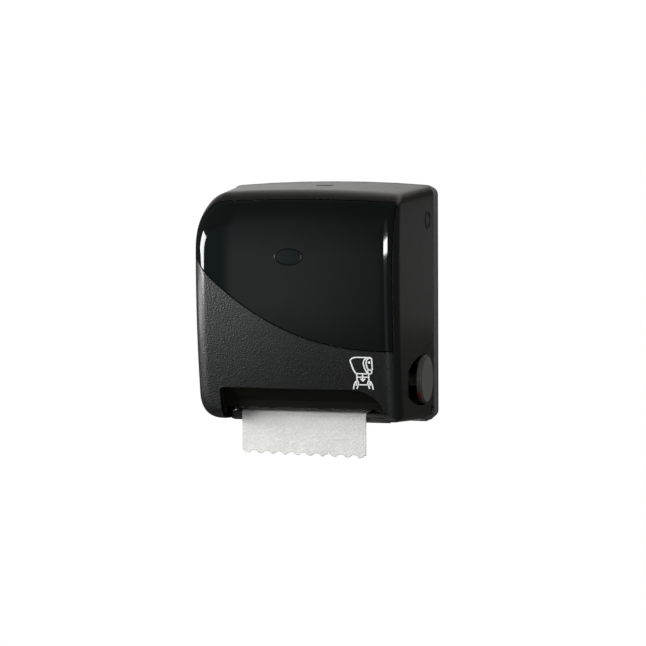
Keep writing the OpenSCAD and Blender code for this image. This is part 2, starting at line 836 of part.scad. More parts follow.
module cover_shell() {
    boss_r = 8.6;
    boss_t = 6;
    pin_r = 3;
    side_x = half_w(-hinge_at[0]);
    latch_gap = 0.6;
    seat_half = latch_size[0] / 2 + 4;
    seat_wall = 2;
    open_d = 50;
    color([0.14, 0.14, 0.15]) difference() {
        union() {
            skin();
            groove_wall();
            for (x = [-seat_half, seat_half - seat_wall])
                translate([latch_x + x, -latch_d - 8, latch_seat_z - seat_wall])
                    cube([seat_wall, 16, latch_top_z - 1.5 - latch_seat_z + seat_wall]);
            translate([latch_x - seat_half, -latch_d - 8, latch_seat_z - seat_wall])
                cube([2 * seat_half, 16, seat_wall]);
            for (side = [0, 1]) mirror([side, 0, 0]) rod(hinge_at, side_x - cover_wall - boss_t, boss_t + 1, boss_r);
        }
        along_depth(150, 300) window_outline(0);
        along_depth(150, 300) mouth_outline();
        translate([-mouth_left, -212, -body_h]) cube([mouth_left + mouth_right, 212, body_h / 2 + 24]);
        translate([-body_w, -open_d, -body_h]) cube([2 * body_w, open_d, body_h / 2 + 10]);
        groove_cut();
        knob_way();
        for (side = [0, 1]) mirror([side, 0, 0]) {
            rod(hinge_at, side_x - 30, 60, pin_r + fit_gap);
            difference() {
                translate([side_x - 20, hinge_at[0], hinge_at[1] - 40]) cube([40, 40, 40]);
                rod(hinge_at, side_x - 25, 50, -hinge_at[0] - cover_rear_d);
            }
        }
        rod(lock_at, 150, 30, bezel_r + 0.1);
        translate([latch_x - latch_size[0] / 2 - latch_gap, -latch_d - latch_size[1] / 2 - latch_gap, 170])
            cube([latch_size[0] + 2 * latch_gap, latch_size[1] + 2 * latch_gap, 40]);
    }
}

module cover_window() {
    color([0.07, 0.09, 0.08]) intersection() {
        skin();
        along_depth(150, 300) window_outline(window_gap);
    }
}

// Scoop behind the mouth: a wall that leads from the arch back and down, with a cheek at each end
module mouth_scoop() {
    left = -mouth_left + 0.5;
    right = mouth_right - 0.5;
    cheek = 2.5;
    scoop_t = 2.4;
    top = [-front_at(right, -104) + cover_wall + 1.2, -104];
    edge = [-scoop_edge_d - scoop_t, scoop_edge_z];
    color([0.05, 0.05, 0.05]) {
        along_x(left, right - left) polygon([
            top, top + [scoop_t, 0], [-scoop_edge_d - 1, scoop_edge_z + 12], [-scoop_edge_d, scoop_edge_z], edge,
            edge + [-1, 11]
        ]);
        for (x = [left, right - cheek]) along_x(x, cheek) polygon([
            top, [-front_at(right, -140) + cover_wall + 1, -140], [-front_at(right, -166) + cover_wall + 6, -164],
            [-scoop_edge_d - scoop_t, -164], edge, edge + [-1, 11]
        ]);
    }
}

module lock_bezel() {
    out_x = half_w(-lock_at[0]) + 0.6;
    bezel_t = 6;
    dish_r = 12;
    color([0.06, 0.06, 0.06]) difference() {
        rod(lock_at, out_x - bezel_t, bezel_t, bezel_r);
        rod(lock_at, out_x - 1.6, 4, dish_r);
        rod(lock_at, out_x - bezel_t - 1, bezel_t + 2, lock_r + fit_gap);
    }
}

module lock_barrel() {
    out_x = half_w(-lock_at[0]) - 0.4;
    inner_x = 151;
    key_w = 1.6;
    key_h = 8;
    color([0.12, 0.12, 0.12]) difference() {
        rod(lock_at, inner_x, out_x - inner_x, lock_r);
        translate([out_x - 5, lock_at[0] - key_w / 2, lock_at[1] - key_h / 2]) cube([6, key_w, key_h]);
    }
}

module lock_tongue() {
    tongue_x = 148.5;
    tongue_t = 2.5;
    reach = 23;
    tongue_w = 8;
    color("silver") along_x(tongue_x, tongue_t) hull() {
        translate(lock_at) circle(r = 7, $fn = 32);
        translate(lock_at + [reach - tongue_w / 2, 0]) circle(r = tongue_w / 2, $fn = 32);
    }
}

// Height of the cover's outer top over the latch
latch_top_z = top_z(latch_d) + top_crown;
latch_seat_z = latch_top_z - 24;
latch_low_z = latch_top_z - 15;

module latch_button() {
    nose_z = 182;
    arm_t = 3;
    color([0.12, 0.12, 0.12]) {
        translate([latch_x - latch_size[0] / 2, -latch_d - latch_size[1] / 2, latch_low_z])
            cube([latch_size[0], latch_size[1], latch_top_z - latch_low_z]);
        along_x(latch_x - 7, 14) polygon([
            [-latch_d, latch_low_z], [-latch_d, latch_low_z + arm_t], [-16.5, latch_low_z + arm_t], [-16.5, nose_z],
            [-14, nose_z], [-8, latch_low_z + 2], [-8, latch_low_z]
        ]);
    }
}

module latch_spring() {
    turns = 5;
    spring_r = 4;
    wire = 0.5;
    height = latch_low_z - latch_seat_z - 2 * wire - 0.2;
    color("silver") translate([latch_x, -latch_d, latch_seat_z + wire + 0.1]) coil(spring_r, wire, height / turns, turns);
}

module drum_shell() {
    inner_r = 41.5;
    end_t = 4;
    groove_r = 43;
    groove_w = 6;
    slot_w = 23;
    slot_angle = 56;
    band_w = 14;
    color("gainsboro") difference() {
        rod(drum_at, -drum_half, 2 * drum_half, drum_r);
        rod(drum_at, -drum_half + end_t, 2 * (drum_half - end_t), inner_r);
        rod(drum_at, -drum_half - 1, 2 * drum_half + 2, shaft_r + seat_gap);
        for (x = finger_places) tube(drum_at, x - groove_w / 2, groove_w, drum_r + 1, groove_r);
        for (x = band_places) tube(drum_at, x - band_w / 2, band_w, drum_r + 1, groove_r);
        translate([0, drum_at[0], drum_at[1]]) rotate([slot_angle, 0, 0])
            translate([-99.5, 30, -slot_w / 2]) cube([199, 30, slot_w]);
        rod(drum_at + knife_at, -drum_half - 1, 2 * drum_half + 2, 3 + fit_gap);
    }
}

band_places = [-60:finger_step:60];

module grip_bands() {
    band_w = 13.8;
    color([0.3, 0.3, 0.3]) for (x = band_places) difference() {
        tube(drum_at, x - band_w / 2, band_w, drum_r, 43.02);
        translate([0, drum_at[0], drum_at[1]]) rotate([56, 0, 0]) translate([-100, 30, -12]) cube([200, 30, 24]);
    }
}

module drum_shaft() {
    color("silver") rod(drum_at, -129, 255, shaft_r);
}

// Outline of a spur gear round the origin, with a tooth on the given angle
function involute(base, t) = base * [cos(t) + t * PI / 180 * sin(t), sin(t) - t * PI / 180 * cos(t)];
function turned(p, a) = [p[0] * cos(a) - p[1] * sin(a), p[0] * sin(a) + p[1] * cos(a)];
module gear_outline(teeth, at_angle) {
    pressure = 20;
    play = 0.12;
    pitch_r = gear_module * teeth / 2;
    base_r = pitch_r * cos(pressure);
    tip_r = pitch_r + 0.9 * gear_module;
    root_r = pitch_r - 1.25 * gear_module;
    flank_start = max(root_r, base_r);
    function roll_at_r(r) = sqrt(max(0, pow(r / base_r, 2) - 1)) * 180 / PI;
    pitch_p = involute(base_r, roll_at_r(pitch_r));
    lean = atan2(pitch_p[1], pitch_p[0]);
    half_tooth = 90 / teeth - play / 2 / pitch_r * 180 / PI;
    radii = [flank_start, (flank_start + pitch_r) / 2, pitch_r, (pitch_r + tip_r) / 2, tip_r];
    flank = [for (r = radii) turned(involute(base_r, roll_at_r(r)), -lean - half_tooth)];
    foot = turned([root_r, 0], -lean - half_tooth - 0.2);
    tooth = concat(
        [foot],
        flank,
        [for (i = [len(flank) - 1:-1:0]) [flank[i][0], -flank[i][1]]],
        [[foot[0], -foot[1]]]
    );
    polygon([for (n = [0:teeth - 1], p = tooth) turned(p, at_angle + 360 * n / teeth)]);
}

module drum_gear() {
    color("ivory") difference() {
        along_x(gear_x, gear_t) translate(drum_at) gear_outline(drum_teeth, mesh_angle);
        rod(drum_at, gear_x - 1, gear_t + 2, shaft_r + seat_gap);
        for (a = [0:60:300]) rod(drum_at + 19 * [cos(a), sin(a)], gear_x - 1, gear_t + 2, 6);
        tube(drum_at, gear_x + 5.5, 4, 28, 11);
    }
}

// Disc with the notch that the detent leaf rests over
module home_disc() {
    notch_r = 3.5;
    color("ivory") difference() {
        rod(drum_at, -125, 5, home_r);
        rod(drum_at, -126, 7, shaft_r + seat_gap);
        rod(drum_at + [0, home_r + 0.8], -126, 7, notch_r);
        for (a = [30, 150, 270]) rod(drum_at + 13 * [cos(a), sin(a)], -126, 7, 4);
    }
}

module knife_carrier() {
    half = 98;
    pin_r = 3;
    reach = 18;
    back = 3.6;
    color("gray") translate([0, drum_at[0] + knife_at[0], drum_at[1] + knife_at[1]]) {
        difference() {
            translate([-half, 0, -carrier_t / 2]) cube([2 * half, reach, carrier_t]);
            for (x = finger_places) translate([x - 3, 9, -carrier_t]) cube([6, 20, 2 * carrier_t]);
        }
        rod([0, 0], -half, 2 * half, back);
        rod([0, 0], -107.8, 107.8 + drum_half, pin_r);
    }
}

// Serrated blade on the carrier, notched where the comb's fingers pass
module knife_blade() {
    half = 97;
    notch = 5;
    rear = 6;
    teeth = 10;
    color("silver") translate([0, drum_at[0] + knife_at[0], drum_at[1] + knife_at[1] + carrier_t / 2]) difference() {
        linear_extrude(blade_t) polygon(concat(
            [[half, rear], [-half, rear]],
            [for (i = [0:2 * teeth]) [-half + half * i / teeth, blade_reach - (i % 2 == 0 ? tooth_depth : 0)]]
        ));
        for (x = finger_places) translate([x - notch / 2, 12, -1]) cube([notch, 20, 3]);
    }
}

module knife_lever() {
    lever_x = -107.5;
    lever_t = 2;
    color("gray") translate([0, drum_at[0], drum_at[1]]) difference() {
        along_x(lever_x, lever_t) hull() {
            translate(knife_at) circle(r = 5, $fn = 32);
            translate(follower_at) circle(r = 3.2, $fn = 32);
        }
        rod(knife_at, lever_x - 1, lever_t + 2, 3 + seat_gap);
    }
}

module cam_follower() {
    color("ivory") rod(drum_at + follower_at, -110.3, 2.8, follower_r);
}

module pinch_roller() {
    color([0.2, 0.2, 0.2]) for (x = [-92, -26, 40]) tube(pinch_at, x, 52, pinch_r, 6.02);
}

module pinch_shaft() {
    color("silver") {
        rod(pinch_at, -106.8, 213.6, 6);
        rod(pinch_at, -frame_x - 2.8, 2 * frame_x + 5.6, 3);
    }
}

module knob_shaft() {
    color("silver") rod(knob_at, frame_x - 4, knob_out_x - 4 - frame_x + 4, shaft_r);
}

module knob_gear() {
    color("ivory") difference() {
        along_x(gear_x, gear_t) translate(knob_at) gear_outline(knob_teeth, mesh_angle + 180 + 180 / knob_teeth);
        rod(knob_at, gear_x - 1, gear_t + 2, shaft_r + seat_gap);
        tube(knob_at, gear_x + 5.5, 4, 19.5, 10);
    }
}

// Rim of the knob with its rounded edge, web and hub
knob_x = knob_out_x - knob_t;
cap_r = knob_r - 3;
marker_in_r = knob_r - 2.4;
marker_w = 6;
module feed_knob() {
    edge_r = 2.5;
    lip = 0.8;
    color([0.2, 0.2, 0.19]) difference() {
        union() {
            translate([knob_x, knob_at[0], knob_at[1]]) rotate([0, 90, 0]) rotate_extrude() polygon(concat(
                [[8, 4], [knob_r - 4, 4], [knob_r - 4, 0], [knob_r - lip, 0], [knob_r, lip]],
                [for (a = [0:22.5:90]) [knob_r - edge_r + edge_r * cos(a), knob_t - edge_r + edge_r * sin(a)]],
                [[cap_r + seat_gap, knob_t], [cap_r + seat_gap, knob_t - 1.8], [8, knob_t - 1.8]]
            ));
            rod(knob_at, recess_x + 4, knob_x + 5 - recess_x - 4, 11);
        }
        rod(knob_at, recess_x, 40, shaft_r + seat_gap);
        intersection() {
            tube(knob_at, knob_x - 1, marker_w + 1, knob_r + 1, marker_in_r);
            marker_wedge(11.5);
        }
    }
}

// Red inlay in the knob's rim
marker_angle = 217;
module marker_wedge(half_angle) {
    reach = 60;
    along_x(knob_x - 5, 30) translate(knob_at) polygon([
        [0, 0],
        reach * [cos(marker_angle - half_angle), sin(marker_angle - half_angle)],
        reach * [cos(marker_angle + half_angle), sin(marker_angle + half_angle)]
    ]);
}
module knob_marker() {
    color("firebrick") intersection() {
        tube(knob_at, knob_x + 0.2, marker_w - 0.3, knob_r - 0.05, marker_in_r + 0.05);
        marker_wedge(11.4);
    }
}

module knob_cap() {
    cap_t = 1.7;
    color([0.3, 0.31, 0.29]) rod(knob_at, knob_out_x - 1.8, cap_t, cap_r);
}

module towel_roll() {
    color("whitesmoke") tube(roll_at, -towel_w / 2, towel_w, roll_r, 20.52);
}

module roll_core() {
    color("tan") tube(roll_at, -towel_w / 2, towel_w, 20.5, 19);
}

module hub(side) {
    mirror([side < 0 ? 1 : 0, 0, 0]) difference() {
        union() {
            rod(roll_at, 84, 20, 18.96);
            rod(roll_at, towel_w / 2 + 0.2, 2.5, 30);
        }
        rod(roll_at, 83, 30, 6);
        for (a = [0:60:300]) rod(roll_at + 12.5 * [cos(a), sin(a)], 88, 30, 3.5);
    }
}

module left_hub() {
    color("gray") hub(-1);
}

module right_hub() {
    color("gray") hub(1);
}

back_plate();
left_side_frame();
right_side_frame();
gear_cover();
left_roll_arm();
right_roll_arm();
exit_chute();
stripper_comb();
bushes();
hinge_pins();
frame_screws();
latch_keeper();
lock_strike();
knife_cam();
detent_spring();
pinch_blocks();
pinch_springs();
knob_cheek();
towel_web();
towel_tail();
cover_shell();
cover_window();
mouth_scoop();
lock_bezel();
latch_spring();
latch_button();
lock_barrel();
lock_tongue();
drum_shell();
grip_bands();
drum_shaft();
drum_gear();
home_disc();
knife_carrier();
knife_blade();
knife_lever();
cam_follower();
pinch_roller();
pinch_shaft();
knob_shaft();
knob_gear();
feed_knob();
knob_cap();
knob_marker();
towel_roll();
roll_core();
left_hub();
right_hub();
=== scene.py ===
import math

import bmesh
import bpy
import numpy as np
from mathutils import Matrix, Vector


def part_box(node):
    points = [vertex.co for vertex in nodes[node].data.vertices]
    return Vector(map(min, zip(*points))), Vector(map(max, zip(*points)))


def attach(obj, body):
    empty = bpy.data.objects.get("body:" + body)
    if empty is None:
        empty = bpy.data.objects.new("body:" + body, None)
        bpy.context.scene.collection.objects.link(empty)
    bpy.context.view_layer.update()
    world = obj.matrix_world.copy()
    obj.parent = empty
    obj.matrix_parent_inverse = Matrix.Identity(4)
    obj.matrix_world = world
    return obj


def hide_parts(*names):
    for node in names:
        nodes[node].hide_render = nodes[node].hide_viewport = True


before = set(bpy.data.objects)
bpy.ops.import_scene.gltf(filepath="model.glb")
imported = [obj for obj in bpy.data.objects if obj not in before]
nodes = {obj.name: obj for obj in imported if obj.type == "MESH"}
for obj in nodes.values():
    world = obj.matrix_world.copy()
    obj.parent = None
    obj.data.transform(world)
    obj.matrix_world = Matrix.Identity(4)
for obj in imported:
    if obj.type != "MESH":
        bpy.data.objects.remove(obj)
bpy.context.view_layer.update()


# The back plate is one moulding in charcoal plastic, screwed flat to the wall through four bossed holes.
# Its rim is the grey line behind the cover. All mouldings here come from spark-eroded tools, so one function
# makes their finish: a fine grain in the relief, and a broad, slight unevenness in tone and gloss.
class Value:
    """A shader socket that takes part in plain arithmetic."""

    def __init__(self, tree, socket):
        self.tree = tree
        self.socket = socket

    def node(self, kind, settings, sockets, out=0):
        made = self.tree.nodes.new(kind)
        for key, setting in settings.items():
            setattr(made, key, setting)
        for key, given in sockets.items():
            if isinstance(given, Value):
                self.tree.links.new(given.socket, made.inputs[key])
            else:
                made.inputs[key].default_value = given
        return Value(self.tree, made.outputs[out])

    def into(self, shader, name):
        self.tree.links.new(self.socket, shader.inputs[name])

    def math(self, operation, first, second):
        return self.node("ShaderNodeMath", {"operation": operation}, {0: first, 1: second})

    def mix(self, low, high):
        low = low if isinstance(low, Value) else (*low, 1.0)
        high = high if isinstance(high, Value) else (*high, 1.0)
        return self.node("ShaderNodeMix", {"data_type": "RGBA"}, {0: self, 6: low, 7: high}, out=2)

    def __add__(self, other):
        return self.math("ADD", self, other)

    def __rsub__(self, other):
        return self.math("SUBTRACT", other, self)

    def __mul__(self, other):
        return self.math("MULTIPLY", self, other)

    def __gt__(self, other):
        return self.math("GREATER_THAN", self, other)


def new_finish(name, roughness=0.5, metallic=0.0, specular=0.5):
    made = bpy.data.materials.new(name)
    made.use_nodes = True
    shader = made.node_tree.nodes["Principled BSDF"]
    shader.inputs["Roughness"].default_value = roughness
    shader.inputs["Metallic"].default_value = metallic
    shader.inputs["Specular IOR Level"].default_value = specular
    place = Value(made.node_tree, made.node_tree.nodes.new("ShaderNodeTexCoord").outputs["Object"])
    return made, shader, place


def moulded(name, colour, roughness, grain, depth, specular=0.5, edge=0.0, coat=0.0):
    """Grained plastic, in metres. Edge rounds the corners in the shading, and coat adds a faint lustre."""
    made, shader, place = new_finish(name, specular=specular)
    shader.inputs["Coat Weight"].default_value = coat
    shader.inputs["Coat Roughness"].default_value = 0.2
    fine = place.node("ShaderNodeTexNoise", {}, {"Vector": place, "Scale": 1 / grain, "Detail": 2.0})
    cells = {"Vector": place, "Scale": 0.6 / grain, "Smoothness": 0.4}
    pits = place.node("ShaderNodeTexVoronoi", {"feature": "SMOOTH_F1"}, cells)
    broad = place.node("ShaderNodeTexNoise", {}, {"Vector": place, "Scale": 16.0, "Detail": 3.0})
    relief = fine * 0.5 + pits * 0.7
    tone = relief * 0.5 + broad * 0.5
    tone.mix([c * 0.72 for c in colour], [min(1.0, c * 1.3) for c in colour]).into(shader, "Base Color")
    (broad * 0.14 + fine * 0.1 + (roughness - 0.12)).into(shader, "Roughness")
    bump = {"Height": relief, "Strength": 1.0, "Distance": depth}
    if edge:
        bump["Normal"] = place.node("ShaderNodeBevel", {"samples": 6}, {"Radius": edge})
    place.node("ShaderNodeBump", {}, bump).into(shader, "Normal")
    return made


def dress(finish, *names):
    for name in names:
        nodes[name].data.materials.clear()
        nodes[name].data.materials.append(finish)


plate_plastic = moulded(
    "charcoal_plate_plastic", (0.14, 0.14, 0.135), roughness=0.5, grain=0.0011, depth=0.00012
)
dress(plate_plastic, "back_plate")

# The two side frames carry the drum, the pinch roller and the chute, and stand on feet screwed to the back
# plate. They and the knife's carrier, the hubs and the comb are moulded in mid-grey nylon.
nylon = moulded("grey_nylon", (0.2, 0.2, 0.205), roughness=0.45, grain=0.0008, depth=0.00006)
dress(nylon, "left_side_frame", "right_side_frame", "knife_carrier", "knife_lever")
dress(nylon, "left_hub", "right_hub", "stripper_comb")

# The roll arms and the drum are moulded in pale grey plastic, so that a loader sees them against the black
# shell. The arms are screwed to the back plate, and the drum turns between the side frames.
pale_plastic = moulded("pale_grey_plastic", (0.5, 0.5, 0.48), roughness=0.42, grain=0.0009, depth=0.00005)
dress(pale_plastic, "left_roll_arm", "right_roll_arm", "drum_shell")

# Gears, bushes, cam, follower, detent disc and pinch blocks are natural acetal, which is slightly waxy and
# needs no oil. They have the moulded finish with an almost flat grain.
acetal = moulded("natural_acetal", (0.7, 0.68, 0.6), roughness=0.38, grain=0.0012, depth=0.00003)
dress(acetal, "drum_gear", "knob_gear", "home_disc", "knife_cam", "cam_follower", "pinch_blocks", "bushes")


# Shafts, screws, leaves, springs and the blade are bright steel, drawn or rolled, so the finish is a streak
# along X with a little dulling where hands and paper dust have been.
def drawn_steel(name, dull, bright):
    made, shader, place = new_finish(name, metallic=1.0)
    stretched = place.node("ShaderNodeMapping", {}, {"Vector": place, "Scale": (90.0, 2600.0, 2600.0)})
    streak = place.node("ShaderNodeTexNoise", {}, {"Vector": stretched, "Scale": 1.0, "Detail": 3.0})
    dust = place.node("ShaderNodeTexNoise", {}, {"Vector": place, "Scale": 60.0, "Detail": 4.0})
    (streak * 0.6 + dust * 0.4).mix(dull, bright).into(shader, "Base Color")
    (streak * 0.18 + dust * 0.14 + 0.16).into(shader, "Roughness")
    bump = {"Height": streak, "Strength": 0.4, "Distance": 0.00003}
    place.node("ShaderNodeBump", {}, bump).into(shader, "Normal")
    return made


steel = drawn_steel("drawn_steel", (0.42, 0.42, 0.42), (0.66, 0.66, 0.65))
dress(steel, "frame_screws", "latch_keeper", "lock_strike", "detent_spring", "pinch_springs", "latch_spring")
dress(steel, "lock_tongue", "drum_shaft", "knife_blade", "pinch_shaft", "knob_shaft")

# The two hinge pins show at the lower rear corners. They are blackened steel, so that they do not shine
# beside the shell.
blackened_steel = drawn_steel("blackened_steel", (0.09, 0.09, 0.09), (0.2, 0.2, 0.2))
dress(blackened_steel, "hinge_pins")

# The drum's grip bands and the pinch roller are moulded rubber, dull and a little dusty from the paper. The
# bands are rings stretched round the drum.
rubber = moulded(
    "dusty_rubber", (0.035, 0.034, 0.033), roughness=0.78, grain=0.0007, depth=0.0001, specular=0.3
)
dress(rubber, "grip_bands", "pinch_roller")

# The gear cover behind the knob and the scoop in the mouth are dull black mouldings, which hide what lies
# behind. The chute is a satin one, polished by the paper, so the edges of its two ledges catch the light.
mouth_plastic = moulded(
    "dull_black_plastic", (0.005, 0.0047, 0.0035), roughness=0.62, grain=0.0009, depth=0.00005,
    specular=0.12, edge=0.0008,
)
dress(mouth_plastic, "gear_cover", "mouth_scoop")
chute_plastic = moulded(
    "satin_black_plastic", (0.05, 0.05, 0.047), roughness=0.36, grain=0.0009, depth=0.00005,
    specular=0.4, edge=0.0008,
)
dress(chute_plastic, "exit_chute")


# The core is a tube of grey-brown board, wound in a spiral whose seams show on the inside. It sits on the two
# hubs, which turn in the arms.
def wound_board():
    made, shader, place = new_finish("wound_core_board", roughness=0.85, specular=0.2)
    fibres = place.node("ShaderNodeTexNoise", {}, {"Vector": place, "Scale": 420.0, "Detail": 5.0})
    spiral = {"Vector": place, "Scale": 12.0, "Distortion": 0.4}
    seam = place.node("ShaderNodeTexWave", {"bands_direction": "DIAGONAL"}, spiral)
    (fibres * 0.7 + seam * 0.3).mix((0.36, 0.26, 0.16), (0.56, 0.44, 0.3)).into(shader, "Base Color")
    bump = {"Height": fibres, "Strength": 0.6, "Distance": 0.0002}
    place.node("ShaderNodeBump", {}, bump).into(shader, "Normal")
    return made


dress(wound_board(), "roll_core")


# The roll is many turns of embossed paper. Its ends show the edges of the turns as fine, slightly uneven
# rings. It is lathed from a profile with rounded edges and a shallow wander in the end faces.
def finish_mesh(name, mesh, finish, smooth_angle=None):
    made = bpy.data.objects.new(name, mesh)
    bpy.context.scene.collection.objects.link(made)
    mesh.materials.clear()
    mesh.materials.append(finish)
    if smooth_angle is not None:
        mesh.shade_smooth()
        mesh.set_sharp_from_angle(angle=math.radians(smooth_angle))
    return made


def embossed_paper(name, axis=None):
    made, shader, place = new_finish(name, roughness=0.9, specular=0.15)
    across = place.node("ShaderNodeMapping", {}, {"Vector": place, "Rotation": (0.0, 0.6, 0.0)})
    cells = {"Vector": across, "Scale": 330.0, "Smoothness": 0.5}
    dimples = place.node("ShaderNodeTexVoronoi", {"feature": "SMOOTH_F1"}, cells)
    fibres = place.node("ShaderNodeTexNoise", {}, {"Vector": place, "Scale": 1500.0, "Detail": 4.0})
    broad = place.node("ShaderNodeTexNoise", {}, {"Vector": place, "Scale": 40.0, "Detail": 2.0})
    relief = dimples * 0.8 + fibres * 0.35
    tone = dimples * 0.45 + broad * 0.3 + fibres * 0.2
    colour = tone.mix((0.55, 0.545, 0.53), (0.84, 0.83, 0.81))
    if axis is not None:
        offset = place.node("ShaderNodeVectorMath", {"operation": "SUBTRACT"}, {0: place, 1: (0.0, *axis)})
        flat = place.node("ShaderNodeVectorMath", {"operation": "MULTIPLY"}, {0: offset, 1: (0.0, 1.0, 1.0)})
        radius = place.node("ShaderNodeVectorMath", {"operation": "LENGTH"}, {0: flat}, out="Value")
        layers = {"W": radius, "Scale": 900.0, "Detail": 3.0}
        rings = place.node("ShaderNodeTexNoise", {"noise_dimensions": "1D"}, layers)
        facing = place.node("ShaderNodeNewGeometry", {}, {}, out="Normal")
        sideways = place.node("ShaderNodeSeparateXYZ", {}, {0: facing}, out=0)
        end = sideways * sideways > 0.5
        colour = end.mix(colour, rings.mix((0.5, 0.49, 0.46), (0.86, 0.85, 0.82)))
        relief = relief * (1 - end) + rings * end
    colour.into(shader, "Base Color")
    bump = {"Height": relief, "Strength": 1.0, "Distance": 0.0008}
    place.node("ShaderNodeBump", {}, bump).into(shader, "Normal")
    return made


roll_low, roll_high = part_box("towel_roll")
roll_axis = ((roll_low.y + roll_high.y) / 2, (roll_low.z + roll_high.z) / 2)
roll_radius = (roll_high.z - roll_low.z) / 2
core_radius = 0.0206
roll_half = roll_high.x


def lathe_roll():
    core_inset, end_inset, edge_inset, rim_inset = 0.0004, 0.0008, 0.0009, 0.0016
    rounding = 0.0004
    profile = [(core_radius, roll_half - core_inset)]
    for share in np.linspace(0.03, 0.98, 26):
        wander = 0.0005 * math.sin(share * 23.0) + 0.0003 * math.sin(share * 71.0)
        profile.append((core_radius + (roll_radius - core_radius) * share, roll_half - end_inset + wander))
    profile += [(roll_radius - rounding, roll_half - edge_inset), (roll_radius, roll_half - rim_inset)]
    profile += [(r, -x) for r, x in reversed(profile)]
    turns = 128
    verts = []
    for r, x in profile:
        for i in range(turns):
            a = 2 * math.pi * i / turns
            verts.append((x, roll_axis[0] + r * math.cos(a), roll_axis[1] + r * math.sin(a)))
    faces = []
    count = len(profile)
    for k in range(count):
        for i in range(turns):
            a, b = k * turns + i, k * turns + (i + 1) % turns
            c, d = ((k + 1) % count) * turns + (i + 1) % turns, ((k + 1) % count) * turns + i
            faces.append((a, d, c, b))
    mesh = bpy.data.meshes.new("towel_roll_wound")
    mesh.from_pydata(verts, [], faces)
    tidy = bmesh.new()
    tidy.from_mesh(mesh)
    bmesh.ops.recalc_face_normals(tidy, faces=tidy.faces)
    tidy.to_mesh(mesh)
    tidy.free()
    return mesh


roll = finish_mesh("towel_roll_wound", lathe_roll(), embossed_paper("rolled_towel_paper", roll_axis), 40)
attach(roll, "roll")
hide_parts("towel_roll")


# The towel runs as one sheet from the back of the roll, round the drum, over the chute's lip and out of the
# mouth. The knife's teeth have left a row of soft waves on its end, and the tail hangs with a slight curl.
def towel_sheet():
    width = 203.0
    aside = -1.2
    drum = (-129.86, -112.5)
    lip = (-170.0, -166.5)
    sheet_r = 45.55
    leave_roll = (-36.3, 34.6)
    lip_r = 4.55
    drum_first, drum_last = -17.3, -84.0
    lip_first, lip_last = 98.0, 180.0
    tail_drop, tail_slope = 62.0, 4.0
    teeth, tooth_depth = 10, 4.6

    def on_circle(centre, r, degrees):
        turn = math.radians(degrees)
        return np.array([centre[0] + r * math.cos(turn), centre[1] + r * math.sin(turn)])

    path = []
    start = on_circle(drum, sheet_r, drum_first)
    for share in np.linspace(0, 1, 24, endpoint=False):
        path.append(np.array(leave_roll) * (1 - share) + start * share)
    for a in np.linspace(drum_first, drum_last, 26):
        path.append(on_circle(drum, sheet_r, a))
    on_lip = on_circle(lip, lip_r, lip_first)
    left = path[-1]
    for share in np.linspace(0, 1, 12)[1:]:
        path.append(left * (1 - share) + on_lip * share)
    for a in np.linspace(lip_first, lip_last, 12)[1:]:
        path.append(on_circle(lip, lip_r, a))
    columns = 200
    tail_rows = 40
    verts = []
    for p in path:
        for x in np.linspace(-width / 2, width / 2, columns + 1):
            verts.append((x + aside, p[0], p[1]))
    for row in range(1, tail_rows + 1):
        drop = row / tail_rows
        for i in range(columns + 1):
            s = i / columns
            x = -width / 2 + width * s + aside
            wave = 0.5 + 0.5 * math.cos(2 * math.pi * (teeth * s + 0.03 * math.sin(19 * s)))
            ragged = 0.35 * math.sin(171 * s + 1.0) + 0.25 * math.sin(263 * s)
            low = lip[1] - tail_drop + tooth_depth * wave - tail_slope * s + ragged
            z = lip[1] + (low - lip[1]) * drop
            hang = 1.2 + 0.9 * math.sin(3.1 * s + 0.6)
            ripple = 0.25 * drop * math.sin(17 * s + 5 * drop)
            curl = drop * drop * hang + ripple
            verts.append((x, path[-1][0] - curl, z))
    rows = len(path) + tail_rows
    across = columns + 1
    faces = []
    for r in range(rows - 1):
        for i in range(columns):
            faces.append((r * across + i, (r + 1) * across + i, (r + 1) * across + i + 1, r * across + i + 1))
    mesh = bpy.data.meshes.new("towel_sheet")
    mesh.from_pydata([(x / 1000, y / 1000, z / 1000) for x, y, z in verts], [], faces)
    run = sum(np.linalg.norm(b - a) for a, b in zip(path, path[1:])) / 1000
    return mesh, width / 1000, run


def applied(piece):
    shown = piece.evaluated_get(bpy.context.evaluated_depsgraph_get())
    mesh = bpy.data.meshes.new_from_object(shown)
    piece.modifiers.clear()
    piece.data = mesh
    return piece


sheet_mesh, sheet_width, sheet_run = towel_sheet()
sheet = finish_mesh("towel_sheet", sheet_mesh, embossed_paper("towel_paper_sheet"), 50)
thick = sheet.modifiers.new("paper", "SOLIDIFY")
thick.thickness = 0.0002
thick.offset = 0.0
applied(sheet)
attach(sheet, "chassis")
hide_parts("towel_web", "towel_tail")

# The cover is one bulged moulding in grained black plastic, with wide left corners and tight right ones, a
# crowned top and a front that swells most above its middle. It is lofted from the same outline as the solid,
# in finer steps. The bosses and the latch's seat are then joined on inside, and the openings are cut.
BODY_W, BODY_H, BODY_D = 338.0, 374.0, 240.0
COVER_WALL = 2.8
COVER_REAR = 20.4
LEFT_TOP, LEFT_BOTTOM = (66.0, 94.0), (46.0, 46.0)
LEFT_BEND = 0.8
ROUND_RIGHT, ROUND_LEFT, ROUND_TOP, ROUND_BOTTOM = 24.0, 23.0, 50.0, 18.0
WINDOW_LEFT, WINDOW_RIGHT, WINDOW_TOP = -162.0, 157.0, 171.0
MOUTH_LEFT, MOUTH_RIGHT, MOUTH_TOP = -123.5, 140.5, -121.5
HINGE = (-30.0, -168.0)
KNOB, KNOB_ROOM = (-73.0, -116.5), 40.2
LOCK, LOCK_ROOM = (-51.0, 134.0), 15.1
LATCH = (11.0, -95.0, 189.19)


